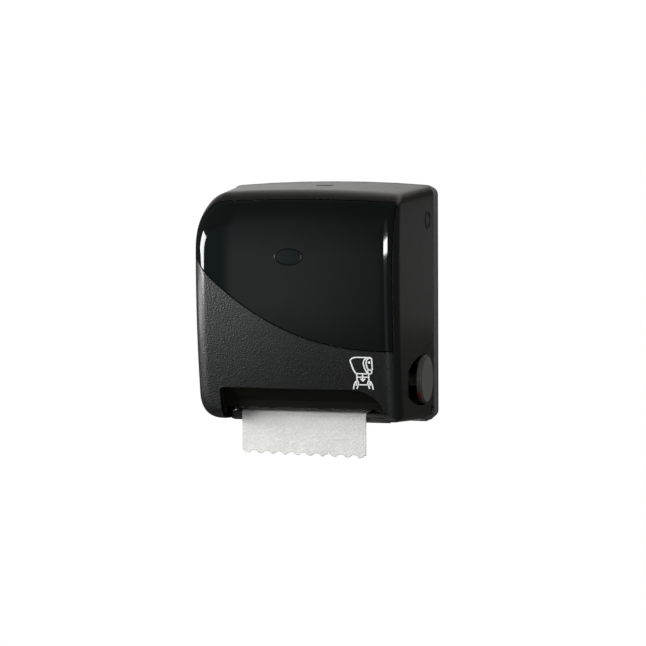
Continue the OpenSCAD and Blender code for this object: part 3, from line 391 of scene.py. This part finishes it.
def half_width(d):
    draft = math.radians(1.3)
    return BODY_W / 2 - d * math.tan(draft)


def front_depth(x, z):
    """Depth of the front, which is fullest above its middle and falls away to its edges."""
    fullest_z, fall_z, fall_x = 60.0, 16.0, 5.0
    return BODY_D - fall_z * ((z - fullest_z) / 190.0) ** 2 - fall_x * (x / 130.0) ** 2


def corner_reach(right, upper, d):
    """Reach of a corner along X and along Z. The upper left one is taller than it is wide."""
    rear = 14.0
    if right:
        return rear, rear
    wide, tall = LEFT_TOP if upper else LEFT_BOTTOM
    share = max(0.0, d) / BODY_D
    return rear + (wide - rear) * share, rear + (tall - rear) * share


def outline_point(place, d, insets):
    """One point of the outline at a depth, moved inwards by a right, left, upper and lower inset."""
    right, upper = place[0] > 0, place[1] > 0
    wide, tall = corner_reach(right, upper, d)
    sharp = 0.5
    crown = 7.0
    top_slope, bottom_slope = math.tan(math.radians(2.9)), math.tan(math.radians(4.1))
    in_right, in_left, in_top, in_bottom = insets
    x_right = half_width(d) - max(corner_reach(True, upper, d)[0], in_right + sharp)
    x_left = -half_width(d) + max(corner_reach(False, upper, d)[0], in_left + sharp)
    high = BODY_H / 2 - d * top_slope - max(corner_reach(right, True, d)[1], in_top + sharp)
    low = -BODY_H / 2 + d * bottom_slope + max(corner_reach(right, False, d)[1], in_bottom + sharp)
    reach_x = max(wide - (in_right if right else in_left), sharp)
    reach_z = max(tall - (in_top if upper else in_bottom), sharp)
    bend = 1.0 if right else LEFT_BEND
    turn_x, turn_z = abs(math.cos(place[2])) ** bend, abs(math.sin(place[2])) ** bend
    x = x_left + (x_right - x_left) * (place[0] + 1) / 2 + place[0] * reach_x * turn_x
    z = low + (high - low) * (place[1] + 1) / 2 + place[1] * reach_z * turn_z
    if z > 0:
        z += crown * (1 - min(1.0, abs(x) / half_width(d)) ** 2.2)
    return x, z


def rounding_insets(drop, wall):
    """Insets of the four sides where their roundings lie a given drop behind the front."""
    made = []
    for r in (ROUND_RIGHT, ROUND_LEFT, ROUND_TOP, ROUND_BOTTOM):
        run = r - wall
        fall = min(run, drop - wall)
        made.append(wall + run - math.sqrt(max(0.0, run * run - (run - fall) ** 2)))
    return made


def cover_skin(name, outer_wall):
    quarter = math.pi / 2
    bend, half = 18, 15
    at_corner, at_side = range(bend + 1), range(1, 2 * half)
    places = [(1, 1, quarter * i / bend) for i in at_corner]
    places += [(1 - i / half, 1, quarter) for i in at_side]
    places += [(-1, 1, quarter * (1 + i / bend)) for i in at_corner]
    places += [(-1, 1 - i / half, 2 * quarter) for i in at_side]
    places += [(-1, -1, quarter * (2 + i / bend)) for i in at_corner]
    places += [(-1 + i / half, -1, 3 * quarter) for i in at_side]
    places += [(1, -1, quarter * (3 + i / bend)) for i in at_corner]
    places += [(1, -1 + i / half, 0.0) for i in at_side]
    count = len(places)
    faces_at = [front_depth(*outline_point(place, BODY_D - ROUND_TOP, (0.0,) * 4)) for place in places]

    def rings(wall):
        made = []
        for share in np.linspace(0, 1, 20):
            ring = []
            for place, face in zip(places, faces_at):
                d = COVER_REAR + (face - ROUND_TOP - COVER_REAR) * share
                x, z = outline_point(place, d, (wall,) * 4)
                ring.append((x, -d, z))
            made.append(ring)
        for angle in np.linspace(0, quarter, 31)[1:]:
            drop = wall + (ROUND_TOP - wall) * (1 - math.sin(angle))
            insets = rounding_insets(drop, wall)
            ring = []
            for place, face in zip(places, faces_at):
                x, z = outline_point(place, face - drop, insets)
                ring.append((x, -(front_depth(x, z) - drop), z))
            made.append(ring)
        edge = made[-1]
        for share in np.linspace(0, 1, 26)[1:-1]:
            ring = []
            for x, _, z in edge:
                x, z = x * (1 - share), z * (1 - share)
                ring.append((x, -(front_depth(x, z) - wall), z))
            made.append(ring)
        return made

    outer, inner = rings(outer_wall), rings(COVER_WALL)
    verts = [p for ring in outer for p in ring] + [p for ring in inner for p in ring]
    verts += [(0.0, -(front_depth(0, 0) - outer_wall), 0.0), (0.0, -(front_depth(0, 0) - COVER_WALL), 0.0)]
    total = len(outer)
    shift = total * count
    faces = []
    for k in range(total - 1):
        for i in range(count):
            a, b = k * count + i, k * count + (i + 1) % count
            faces.append((a, b, b + count, a + count))
            faces.append((shift + a, shift + a + count, shift + b + count, shift + b))
    last = (total - 1) * count
    for i in range(count):
        n = (i + 1) % count
        faces.append((last + i, last + n, 2 * shift))
        faces.append((shift + last + n, shift + last + i, 2 * shift + 1))
        faces.append((n, i, shift + i, shift + n))
    mesh = bpy.data.meshes.new(name)
    mesh.from_pydata([(x / 1000, y / 1000, z / 1000) for x, y, z in verts], [], faces)
    tidy = bmesh.new()
    tidy.from_mesh(mesh)
    bmesh.ops.remove_doubles(tidy, verts=tidy.verts, dist=1e-6)
    bmesh.ops.recalc_face_normals(tidy, faces=tidy.faces)
    tidy.to_mesh(mesh)
    tidy.free()
    return mesh


def prism(name, outline, along, low, high):
    """A closed prism in millimetres. (X, Z) pairs run along Y, (Y, Z) pairs along X, (X, Y) pairs along Z."""
    made = bmesh.new()
    ends = []
    for level in (low, high):
        loop = []
        for u, v in outline:
            point = {"X": (level, u, v), "Y": (u, level, v), "Z": (u, v, level)}[along]
            loop.append(made.verts.new([c / 1000 for c in point]))
        ends.append(loop)
        made.faces.new(loop)
    for i in range(len(outline)):
        n = (i + 1) % len(outline)
        made.faces.new((ends[0][i], ends[0][n], ends[1][n], ends[1][i]))
    bmesh.ops.recalc_face_normals(made, faces=made.faces)
    mesh = bpy.data.meshes.new(name)
    made.to_mesh(mesh)
    made.free()
    tool = bpy.data.objects.new(name, mesh)
    bpy.context.scene.collection.objects.link(tool)
    return tool


def arc(at, r, first=0.0, last=360.0, steps=72):
    reach_x, reach_z = r if isinstance(r, tuple) else (r, r)
    angles = np.radians(np.linspace(first, last, steps, endpoint=abs(last - first) < 359.0))
    return [(at[0] + reach_x * math.cos(a), at[1] + reach_z * math.sin(a)) for a in angles]


def box_outline(low, high):
    return [(low[0], low[1]), (high[0], low[1]), (high[0], high[1]), (low[0], high[1])]


def sweep_height(x):
    """Height of the window's lower edge, which sweeps up to the left and turns up more at its end."""
    low, rise, power = -62.0, 138.0, 2.3
    upturn = 9.0 * (max(0.0, -132.0 - x) / 30.0) ** 2
    return low + rise * ((WINDOW_RIGHT - x) / (WINDOW_RIGHT - WINDOW_LEFT)) ** power + upturn


def window_outline(gap):
    left, right, top = WINDOW_LEFT + gap, WINDOW_RIGHT - gap, WINDOW_TOP - gap
    corner, bow, fall = 8.0, 4.5, 5.0
    shoulder = (46.0, 72.0)
    shoulder_x = left + shoulder[0]
    shoulder_z = top - fall * (shoulder_x / right) ** 2
    made = [(x, sweep_height(x) + gap) for x in np.linspace(left, right, 100)]
    made += [(right + bow * (max(0.0, z - 60.0) / 95.0) ** 2, z) for z in np.linspace(-50.0, 150.0, 40)]
    made += arc((right + bow - corner, top - fall - corner), corner, 0.0, 90.0, 12)
    made += [(x, top - fall * (x / right) ** 2) for x in np.linspace(right - corner, shoulder_x, 60)[1:-1]]
    made += arc((shoulder_x, shoulder_z - shoulder[1]), shoulder, 90.0, 180.0, 30)
    return made


def mouth_outline():
    corner, arch = 6.0, (52.0, 42.0)
    made = [(MOUTH_LEFT, -300.0)]
    made += arc((MOUTH_LEFT + corner, MOUTH_TOP - corner), corner, 180.0, 90.0, 10)
    made += arc((MOUTH_RIGHT - arch[0], MOUTH_TOP - arch[1]), arch, 90.0, 0.0, 36)
    return made + [(MOUTH_RIGHT, -300.0)]


def combine(piece, operation, tools):
    for tool in tools:
        step = piece.modifiers.new(tool.name, "BOOLEAN")
        step.operation = operation
        step.solver = "EXACT"
        step.object = tool
    applied(piece)
    for tool in tools:
        bpy.data.objects.remove(tool)
    piece.data.shade_smooth()
    piece.data.set_sharp_from_angle(angle=math.radians(30))
    return piece


def groove(name, grow):
    """The oval finger groove before the knob, or with a wall's thickness to grow by, the wall round it."""
    first, last = -KNOB[0], 176.0
    floor = []
    for d in [first] + list(np.linspace(104.0, last, 37)):
        floor.append((half_width(d) - min(19.0, 16.0 * ((last - d) / 64.0) ** 1.5) - grow, -d))
    if grow:
        floor += [(half_width(last + 2) - 0.5, -last - 2), (half_width(first) - 0.5, -first)]
    else:
        floor += [(200.0, -last), (200.0, -first)]
    oval = arc(KNOB, (last - first + grow, KNOB_ROOM + grow), steps=120)
    made = prism(name, floor, "Z", KNOB[1] - 60.0, KNOB[1] + 60.0)
    return combine(made, "INTERSECT", [prism(f"{name}_side", oval, "X", 120.0, 190.0)])


cover_plastic = moulded(
    "grained_black_cover", (0.005, 0.005, 0.0048), roughness=0.42, grain=0.0013, depth=0.00055,
    edge=0.001, coat=0.5,
)
shell = finish_mesh("cover_shell_moulded", cover_skin("cover_shell_moulded", 0.0), cover_plastic)
hinge_side = half_width(-HINGE[0])
seat_low, seat_high = LATCH[2] - 26.0, LATCH[2] - 1.5
seat_walls = {
    "seat_left": box_outline((LATCH[0] - 17, seat_low), (LATCH[0] - 15, seat_high)),
    "seat_right": box_outline((LATCH[0] + 15, seat_low), (LATCH[0] + 17, seat_high)),
    "seat_floor": box_outline((LATCH[0] - 17, seat_low), (LATCH[0] + 17, seat_low + 2)),
}
inner_walls = [groove("groove_wall", COVER_WALL)]
for seat_name, seat_outline in seat_walls.items():
    inner_walls.append(prism(seat_name, seat_outline, "Y", LATCH[1] - 8, LATCH[1] + 8))
swing_start = math.degrees(math.atan2(KNOB[1] - HINGE[1], KNOB[0] - HINGE[0]))
swing_reach = math.dist(KNOB, HINGE)
swing = arc(HINGE, swing_reach + KNOB_ROOM, swing_start, 0.0)
swing += arc(HINGE, swing_reach - KNOB_ROOM, 0.0, swing_start)
trim_rear, trim_low = HINGE[0] + 40.0, HINGE[1] - 40.0
trim = [(HINGE[0], trim_low), (trim_rear, trim_low), (trim_rear, HINGE[1])]
trim += arc(HINGE, 9.6, 0.0, -90.0, 24)
latch_hole = box_outline((LATCH[0] - 13.6, 170.0), (LATCH[0] + 13.6, 210.0))
openings = [
    prism("window_hole", window_outline(0.0), "Y", -300.0, -150.0),
    prism("mouth_hole", mouth_outline(), "Y", -300.0, -150.0),
    prism("bottom_hole", box_outline((MOUTH_LEFT, -300.0), (MOUTH_RIGHT, -163.0)), "Y", -212.0, 0.0),
    prism("rear_hole", box_outline((-200.0, -300.0), (200.0, -177.0)), "Y", -50.0, 0.0),
    groove("groove_hollow", 0.0),
    prism("knob_hole", arc(KNOB, KNOB_ROOM), "X", 130.0, 190.0),
    prism("swing_hole", swing, "X", 130.0, 190.0),
    prism("lock_hole", arc(LOCK, LOCK_ROOM), "X", 150.0, 180.0),
    prism("latch_hole", latch_hole, "Y", LATCH[1] - 7.1, LATCH[1] + 7.1),
]
for side in (-1, 1):
    boss = sorted((side * (hinge_side - COVER_WALL - 6), side * (hinge_side - COVER_WALL + 1)))
    inner_walls.append(prism(f"hinge_boss_{side}", arc(HINGE, 8.6), "X", *boss))
    ends = sorted((side * (hinge_side - 20), side * (hinge_side + 20)))
    openings.append(prism(f"hinge_trim_{side}", trim, "X", *ends))
    openings.append(prism(f"hinge_bore_{side}", arc(HINGE, 3.05, steps=40), "X", *ends))
combine(shell, "UNION", inner_walls)
combine(shell, "DIFFERENCE", openings)
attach(shell, "cover")
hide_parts("cover_shell")

# Behind the knob, a cheek fixed to the back plate fills the path that the knob leaves through the cover's
# side. It is moulded in the cover's plastic, with the same grain, and stands flush with it.
dress(cover_plastic, "knob_cheek")


# The window is a smoked panel, polished and all but opaque, clipped into the cover from behind. It sits half
# a millimetre below the grained moulding, whose edge catches the light along the sweep.
def smoked_panel():
    made, shader, place = new_finish("smoked_window")
    broad = place.node("ShaderNodeTexNoise", {}, {"Vector": place, "Scale": 9.0, "Detail": 2.0})
    wipe = place.node("ShaderNodeTexNoise", {}, {"Vector": place, "Scale": 120.0, "Detail": 5.0})
    broad.mix((0.0030, 0.0042, 0.0036), (0.0048, 0.0064, 0.0056)).into(shader, "Base Color")
    (wipe * 0.04 + broad * 0.02 + 0.02).into(shader, "Roughness")
    edge = place.node("ShaderNodeBevel", {"samples": 6}, {"Radius": 0.0008})
    bump = {"Height": broad, "Strength": 0.05, "Distance": 0.0006, "Normal": edge}
    place.node("ShaderNodeBump", {}, bump).into(shader, "Normal")
    return made


window_set_back, window_gap = 0.5, 1.1
window_skin = cover_skin("cover_window_polished", window_set_back)
window = finish_mesh("cover_window_polished", window_skin, smoked_panel())
combine(window, "INTERSECT", [prism("window_panel", window_outline(window_gap), "Y", -300.0, -150.0)])
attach(window, "cover")
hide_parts("cover_window")


# A fine bead is moulded on the shell along the sweep, where it meets the window, and runs out on the right
# side. It is drawn as a path on the skin, and a node tree sweeps a flat oval along that path.
def stroke_tree():
    tree = bpy.data.node_groups.new("stroke_on_a_path", "GeometryNodeTree")
    ports = tree.interface
    ports.new_socket("Geometry", in_out="INPUT", socket_type="NodeSocketGeometry")
    for name in ("Width", "Height"):
        ports.new_socket(name, in_out="INPUT", socket_type="NodeSocketFloat")
    ports.new_socket("Finish", in_out="INPUT", socket_type="NodeSocketMaterial")
    ports.new_socket("Geometry", in_out="OUTPUT", socket_type="NodeSocketGeometry")
    given = tree.nodes.new("NodeGroupInput")
    path = tree.nodes.new("GeometryNodeMeshToCurve")
    flat = tree.nodes.new("GeometryNodeSetCurveNormal")
    flat.mode = "FREE"
    flat.inputs["Normal"].default_value = (0.0, -1.0, 0.0)
    oval = tree.nodes.new("GeometryNodeCurvePrimitiveCircle")
    oval.inputs["Resolution"].default_value = 12
    oval.inputs["Radius"].default_value = 0.5
    size = tree.nodes.new("ShaderNodeCombineXYZ")
    squash = tree.nodes.new("GeometryNodeTransform")
    sweep = tree.nodes.new("GeometryNodeCurveToMesh")
    sweep.inputs["Fill Caps"].default_value = True
    smooth = tree.nodes.new("GeometryNodeSetShadeSmooth")
    real = tree.nodes.new("GeometryNodeRealizeInstances")
    coat = tree.nodes.new("GeometryNodeSetMaterial")
    result = tree.nodes.new("NodeGroupOutput")
    join = tree.links.new
    join(given.outputs["Geometry"], path.inputs["Mesh"])
    join(given.outputs["Height"], size.inputs["X"])
    join(given.outputs["Width"], size.inputs["Y"])
    size.inputs["Z"].default_value = 1.0
    join(oval.outputs["Curve"], squash.inputs["Geometry"])
    join(size.outputs["Vector"], squash.inputs["Scale"])
    join(path.outputs["Curve"], flat.inputs["Curve"])
    join(flat.outputs["Curve"], sweep.inputs["Curve"])
    join(squash.outputs["Geometry"], sweep.inputs["Profile Curve"])
    join(sweep.outputs["Mesh"], smooth.inputs["Geometry"])
    join(smooth.outputs["Geometry"], real.inputs["Geometry"])
    join(real.outputs["Geometry"], coat.inputs["Geometry"])
    join(given.outputs["Finish"], coat.inputs["Material"])
    join(coat.outputs["Geometry"], result.inputs["Geometry"])
    return tree


strokes = stroke_tree()


def stroke(name, paths, width, height, finish):
    """Sweep an oval along open or closed paths in millimetres; a closed path ends on its first point."""
    verts = []
    edges = []
    for path in paths:
        first = len(verts)
        closed = math.dist(path[0], path[-1]) < 1e-6
        points = path[:-1] if closed else path
        verts += [[c / 1000 for c in point] for point in points]
        edges += [(first + i, first + i + 1) for i in range(len(points) - 1)]
        if closed:
            edges.append((len(verts) - 1, first))
    mesh = bpy.data.meshes.new(name)
    mesh.from_pydata(verts, edges, [])
    made = bpy.data.objects.new(name, mesh)
    bpy.context.scene.collection.objects.link(made)
    step = made.modifiers.new("stroke", "NODES")
    step.node_group = strokes
    values = {"Width": width / 1000, "Height": height / 1000, "Finish": finish}
    for port in strokes.interface.items_tree:
        if port.in_out == "INPUT" and port.name in values:
            step[port.identifier] = values[port.name]
    return applied(made)


def skin_depth(x, z):
    """Depth of the cover's outer skin below its top rounding, from the front and the two side roundings."""
    side_depth = 200.0
    room = half_width(side_depth) - abs(x)
    r = ROUND_RIGHT if x > 0 else ROUND_LEFT
    reach = max(0.0, r - room)
    return front_depth(x, z) - r + math.sqrt(max(0.0, r * r - min(r, reach) ** 2))


bead_drop, bead_width, bead_height = 0.7, 1.5, 1.4
bead_runs = [np.linspace(-160.0, -140.0, 24), np.linspace(-136.0, 136.0, 80), np.linspace(140.0, 163.0, 30)]
sweep_path = []
for bead_x in np.concatenate(bead_runs):
    bead_z = sweep_height(min(bead_x, WINDOW_RIGHT)) - bead_drop
    sweep_path.append((bead_x, -skin_depth(bead_x, bead_z), bead_z))
bead_plastic = moulded(
    "polished_black_bead", (0.012, 0.012, 0.0115), roughness=0.18, grain=0.0009, depth=0.00001
)
bead = stroke("sweep_bead", [sweep_path], bead_width, bead_height, bead_plastic)
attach(bead, "cover")


# The badge is a plain oval plate stuck on the window, left bare: a dark slate face with a black rim. The face
# is a shallow dome that follows the front, and the rim is a stroke swept round it.
def plate_mesh(name, centre, half, lift, dome):
    made = bmesh.new()
    rows = 12
    around = 96
    foot = -0.3
    middle = made.verts.new((0.0, 0.0, 0.0))
    loops = []
    for k in range(1, rows + 2):
        share = min(1.0, k / rows)
        loop = []
        for a in np.linspace(0, 2 * math.pi, around, endpoint=False):
            x = centre[0] + half[0] * share * math.cos(a)
            z = centre[1] + half[1] * share * math.sin(a)
            rise = lift + dome * (1 - share * share) if k <= rows else foot
            depth = front_depth(x, z) - window_set_back + rise
            loop.append(made.verts.new((x / 1000, -depth / 1000, z / 1000)))
        loops.append(loop)
    top = front_depth(*centre) - window_set_back + lift + dome
    middle.co = (centre[0] / 1000, -top / 1000, centre[1] / 1000)
    for i in range(around):
        n = (i + 1) % around
        made.faces.new((middle, loops[0][i], loops[0][n]))
        for inner, outer in zip(loops, loops[1:]):
            made.faces.new((inner[i], outer[i], outer[n], inner[n]))
    made.faces.new(loops[-1])
    bmesh.ops.recalc_face_normals(made, faces=made.faces)
    mesh = bpy.data.meshes.new(name)
    made.to_mesh(mesh)
    made.free()
    return mesh


BADGE = (-4.0, 82.6)
badge_half, rim_half = (22.0, 12.8), (21.4, 12.2)
rim_lift, rim_width, rim_height = 0.1, 2.4, 1.2
badge_face = moulded(
    "badge_face", (0.004, 0.0065, 0.0075), roughness=0.3, grain=0.0012, depth=0.00001, specular=0.3
)
badge_black = moulded(
    "badge_rim", (0.003, 0.003, 0.003), roughness=0.3, grain=0.0012, depth=0.00002, specular=0.35
)
badge_mesh = plate_mesh("badge_plate", BADGE, badge_half, lift=0.5, dome=0.5)
badge = finish_mesh("badge_plate", badge_mesh, badge_face, 30)
rim_path = []
for rim_x, rim_z in arc(BADGE, rim_half, steps=120):
    rim_path.append((rim_x, -(front_depth(rim_x, rim_z) + rim_lift), rim_z))
badge_rim = stroke("badge_rim", [rim_path + rim_path[:1]], rim_width, rim_height, badge_black)
for piece in (badge, badge_rim):
    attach(piece, "cover")

# The pictogram is printed in white on the shell: a dispenser, its sheet, an arrow and two hands that pull.
# It is a simple drawing of its own, made of strokes that lie on the front.
PICTURE = (108.3, -95.7)
picture_lines = [
    [(-13.4, 7.2), (-17.5, 20.3), (-15.0, 23.6), (-9.2, 25.5), (14.0, 25.2), (16.3, 22.9), (16.7, 5.9)],
    [(-13.4, 7.2), (-9.2, 0.4), (8.7, 0.0)],
    [(8.7, 24.6), (4.4, 21.5), (2.9, 17.0), (4.4, 9.5), (8.7, 0.6)],
    [(12.4, 24.6), (8.6, 21.5), (7.3, 17.0), (8.2, 11.1), (10.2, 6.8)],
    arc((12.1, 17.7), 1.0, 0.0, 360.0, 8) + [(13.1, 17.7)],
    arc((12.4, 3.2), 3.2, 0.0, 360.0, 20) + [(15.6, 3.2)],
    [(-7.8, 0.0), (-7.8, -11.0)],
    [(10.7, 0.0), (10.7, -11.0)],
    [(-7.0, -5.2), (10.0, -5.2)],
    [(1.3, -1.0), (1.3, -10.8)],
    [(-2.2, -7.6), (1.3, -11.2), (4.8, -7.6)],
    [(-4.6, -17.0), (7.2, -17.0)],
]
for mirror in (-1, 1):
    for line in (
        [(8.0, -11.0), (12.0, -12.4), (14.2, -17.5), (15.4, -24.5)],
        [(8.0, -11.0), (7.2, -15.0), (8.4, -18.5), (10.0, -23.5)],
        [(10.2, -13.5), (11.4, -18.5)],
    ):
        picture_lines.append([(1.4 + mirror * x, z) for x, z in line])
picture_paths = []
for line in picture_lines:
    path = []
    for (x0, z0), (x1, z1) in zip(line, line[1:]):
        for share in np.linspace(0, 1, 6, endpoint=False):
            x, z = PICTURE[0] + x0 + (x1 - x0) * share, PICTURE[1] + z0 + (z1 - z0) * share
            path.append((x, -front_depth(x, z), z))
    x, z = PICTURE[0] + line[-1][0], PICTURE[1] + line[-1][1]
    picture_paths.append(path + [(x, -front_depth(x, z), z)])
print_white = moulded(
    "white_print", (0.82, 0.82, 0.8), roughness=0.6, grain=0.0008, depth=0.00002, specular=0.3
)
print_width, print_height = 2.3, 0.24
picture = stroke("pull_pictogram", picture_paths, print_width, print_height, print_white)
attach(picture, "cover")

# The latch button in the cover's top and the lock's bezel in its side are smooth black mouldings. The lock's
# barrel is blackened steel, like the hinge pins.
trim_plastic = moulded(
    "smooth_black_plastic", (0.022, 0.022, 0.021), roughness=0.34, grain=0.0009, depth=0.00004, edge=0.0006
)
dress(trim_plastic, "lock_bezel", "latch_button")
dress(blackened_steel, "lock_barrel")

# The knob is a smooth dark disc with a rounded edge. Its cap is a flat plate in warm grey, pressed into the
# rim, and a red inlay in the rim shows the knob's turn.
knob_plastic = moulded(
    "dark_knob_rim", (0.055, 0.055, 0.053), roughness=0.36, grain=0.0009, depth=0.00004
)
dress(knob_plastic, "feed_knob")
cap_plastic = moulded(
    "grey_knob_cap", (0.25, 0.254, 0.234), roughness=0.36, grain=0.0009, depth=0.00006, edge=0.0014
)
dress(cap_plastic, "knob_cap")
marker_plastic = moulded(
    "red_marker_plastic", (0.14, 0.012, 0.014), roughness=0.4, grain=0.0007, depth=0.00004
)
dress(marker_plastic, "knob_marker")

# The studio has a pale round floor well below the part, and the world is its room. The camera sees white all
# round. Every other ray sees a dim room with a white sweep behind the part and a soft glow in front, which
# the polished window mirrors.
floor_mesh = bpy.data.meshes.new("floor")
floor_radius, floor_level = 1.1, -2.2
floor_round = []
for floor_angle in np.radians(np.arange(0, 360, 5)):
    floor_x, floor_y = floor_radius * math.cos(floor_angle), floor_radius * math.sin(floor_angle)
    floor_round.append((floor_x, floor_y, floor_level))
floor_mesh.from_pydata(floor_round, [], [tuple(range(len(floor_round)))])
floor_finish, floor_shader, _ = new_finish("pale_floor", roughness=0.9)
floor_shader.inputs["Base Color"].default_value = (0.8, 0.8, 0.8, 1.0)
floor = finish_mesh("floor", floor_mesh, floor_finish)

world = bpy.data.worlds.new("studio")
bpy.context.scene.world = world
world.use_nodes = True
sky_tree = world.node_tree
direction = Value(sky_tree, sky_tree.nodes.new("ShaderNodeTexCoord").outputs["Generated"])


def ramp(value, low, high):
    """A soft step from 0 at low to 1 at high; low may be the greater."""
    flip = low > high
    limits = {"From Min": min(low, high), "From Max": max(low, high)}
    ends = {"To Min": 1.0, "To Max": 0.0} if flip else {"To Min": 0.0, "To Max": 1.0}
    soft = {"interpolation_type": "SMOOTHSTEP"}
    return value.node("ShaderNodeMapRange", soft, {"Value": value, **limits, **ends})


VIEW = (-0.2932, 0.9533, -0.0715)
dot = {"operation": "DOT_PRODUCT"}
along = direction.node("ShaderNodeVectorMath", dot, {0: direction, 1: VIEW}, out="Value")
sweep_outer, sweep_inner = math.radians(14), math.radians(11)
behind = ramp(along, math.cos(sweep_outer), math.cos(sweep_inner))
part_x, part_y, part_z = (
    direction.node("ShaderNodeSeparateXYZ", {}, {0: direction}, out=axis) for axis in range(3)
)
# The room is drawn in soft steps over a ray's direction: X to the right, Y into the wall and Z up.
in_front = ramp(part_y, 0.0, -0.1)
over = ramp(part_z, 1.0, 0.5) * ramp(part_z, 0.3, 0.5) * ramp(part_x, -0.5, -0.15) * ramp(part_x, 0.5, 0.15)
cool = ramp(part_x, -0.3, -0.45) * ramp(part_z, 0.2, 0.03) * ramp(part_z, -0.4, -0.15)
sides = ramp(part_x, -0.452, -0.43) * (ramp(part_x, 0.0, -0.4) * 0.8 + 0.2)
rise = ramp(part_z, 0.1, -0.03) * 0.55 + ramp(part_z, 0.9, 0.0) * 0.45
heights = rise * (ramp(part_z, -0.39, -0.1) * 0.98 + 0.02)
beside = ramp(part_x, 0.36, 0.44) * ramp(part_x, 0.72, 0.62) * ramp(part_z, 0.2, 0.02)
back = over.mix((0.05, 0.05, 0.048), (0.8, 0.78, 0.74))
walls = in_front.mix(back, (0.014, 0.015, 0.016))
shade = (in_front * cool).mix(walls, (0.055, 0.085, 0.14))
glow = (in_front * beside).mix(shade, (0.26, 0.3, 0.32))
room = (in_front * sides * heights).mix(glow, (0.39, 0.43, 0.4))
mirrored = behind.mix(room, (1.0, 1.0, 1.0))
seen = Value(sky_tree, sky_tree.nodes.new("ShaderNodeLightPath").outputs["Is Camera Ray"])
seen.mix(mirrored, (1.0, 1.0, 1.0)).into(sky_tree.nodes["Background"], "Color")


# Six soft boxes light the part. The key lights the whole and is not mirrored. The left box and the camera box
# also draw the left and right strips on the window. The edge box lights the left rounding, the back box the
# top and the side box the right side.
def soft_box(name, place, aim, size, power, lean=0.0):
    lamp = bpy.data.lights.new(name, "AREA")
    lamp.shape = "RECTANGLE"
    lamp.size, lamp.size_y = size
    lamp.energy = power
    made = bpy.data.objects.new(name, lamp)
    bpy.context.scene.collection.objects.link(made)
    made.location = place
    facing = (Vector(aim) - Vector(place)).to_track_quat("-Z", "Y").to_matrix()
    made.rotation_euler = (facing @ Matrix.Rotation(math.radians(lean), 3, "Z")).to_euler()
    return made


key = soft_box("key_box", (0.35, -1.6, 1.4), (0.0, -0.15, -0.1), (1.0, 1.0), 28.5)
key.visible_glossy = False
soft_box("left_box", (-1.66, -1.13, 0.22), (-0.481, -0.203, 0.22), (1.07, 0.56), 38.0, lean=-18.0)
soft_box("edge_box", (-0.98, -0.34, -0.09), (-0.15, -0.15, -0.05), (0.5, 0.15), 1.3)
soft_box("camera_box", (2.77, -4.17, 0.19), (0.0, -0.2, 0.08), (2.2, 0.22), 40.0)
soft_box("back_box", (-1.1, 2.1, 0.95), (0.0, -0.1, 0.19), (2.4, 0.7), 2.2)
soft_box("side_box", (0.45, 0.95, 0.02), (0.165, -0.1, 0.06), (0.3, 0.27), 0.034)

# The camera is a long lens, which stands to the right of the part and a little above it, and is turned by a
# small roll about its own axis.
camera_place = (1.2275, -4.0645, 0.269)
camera_lens = bpy.data.cameras.new("photo_camera")
camera_lens.lens = 146.4
camera_lens.sensor_width = 36.0
camera_lens.clip_end = 50.0
camera = bpy.data.objects.new("photo_camera", camera_lens)
bpy.context.scene.collection.objects.link(camera)
forward = Vector(VIEW).normalized()
right = Vector((0.9558, 0.2940, 0.0)).normalized()
up = right.cross(forward)
roll_angle = math.radians(0.344)
tilted_up = up * math.cos(roll_angle) + right * math.sin(roll_angle)
tilted_right = forward.cross(tilted_up)
turn = Matrix((tilted_right, tilted_up, -forward)).transposed()
camera.matrix_world = Matrix.Translation(camera_place) @ turn.to_4x4()
bpy.context.scene.camera = camera
bpy.context.scene.view_settings.view_transform = "Standard"
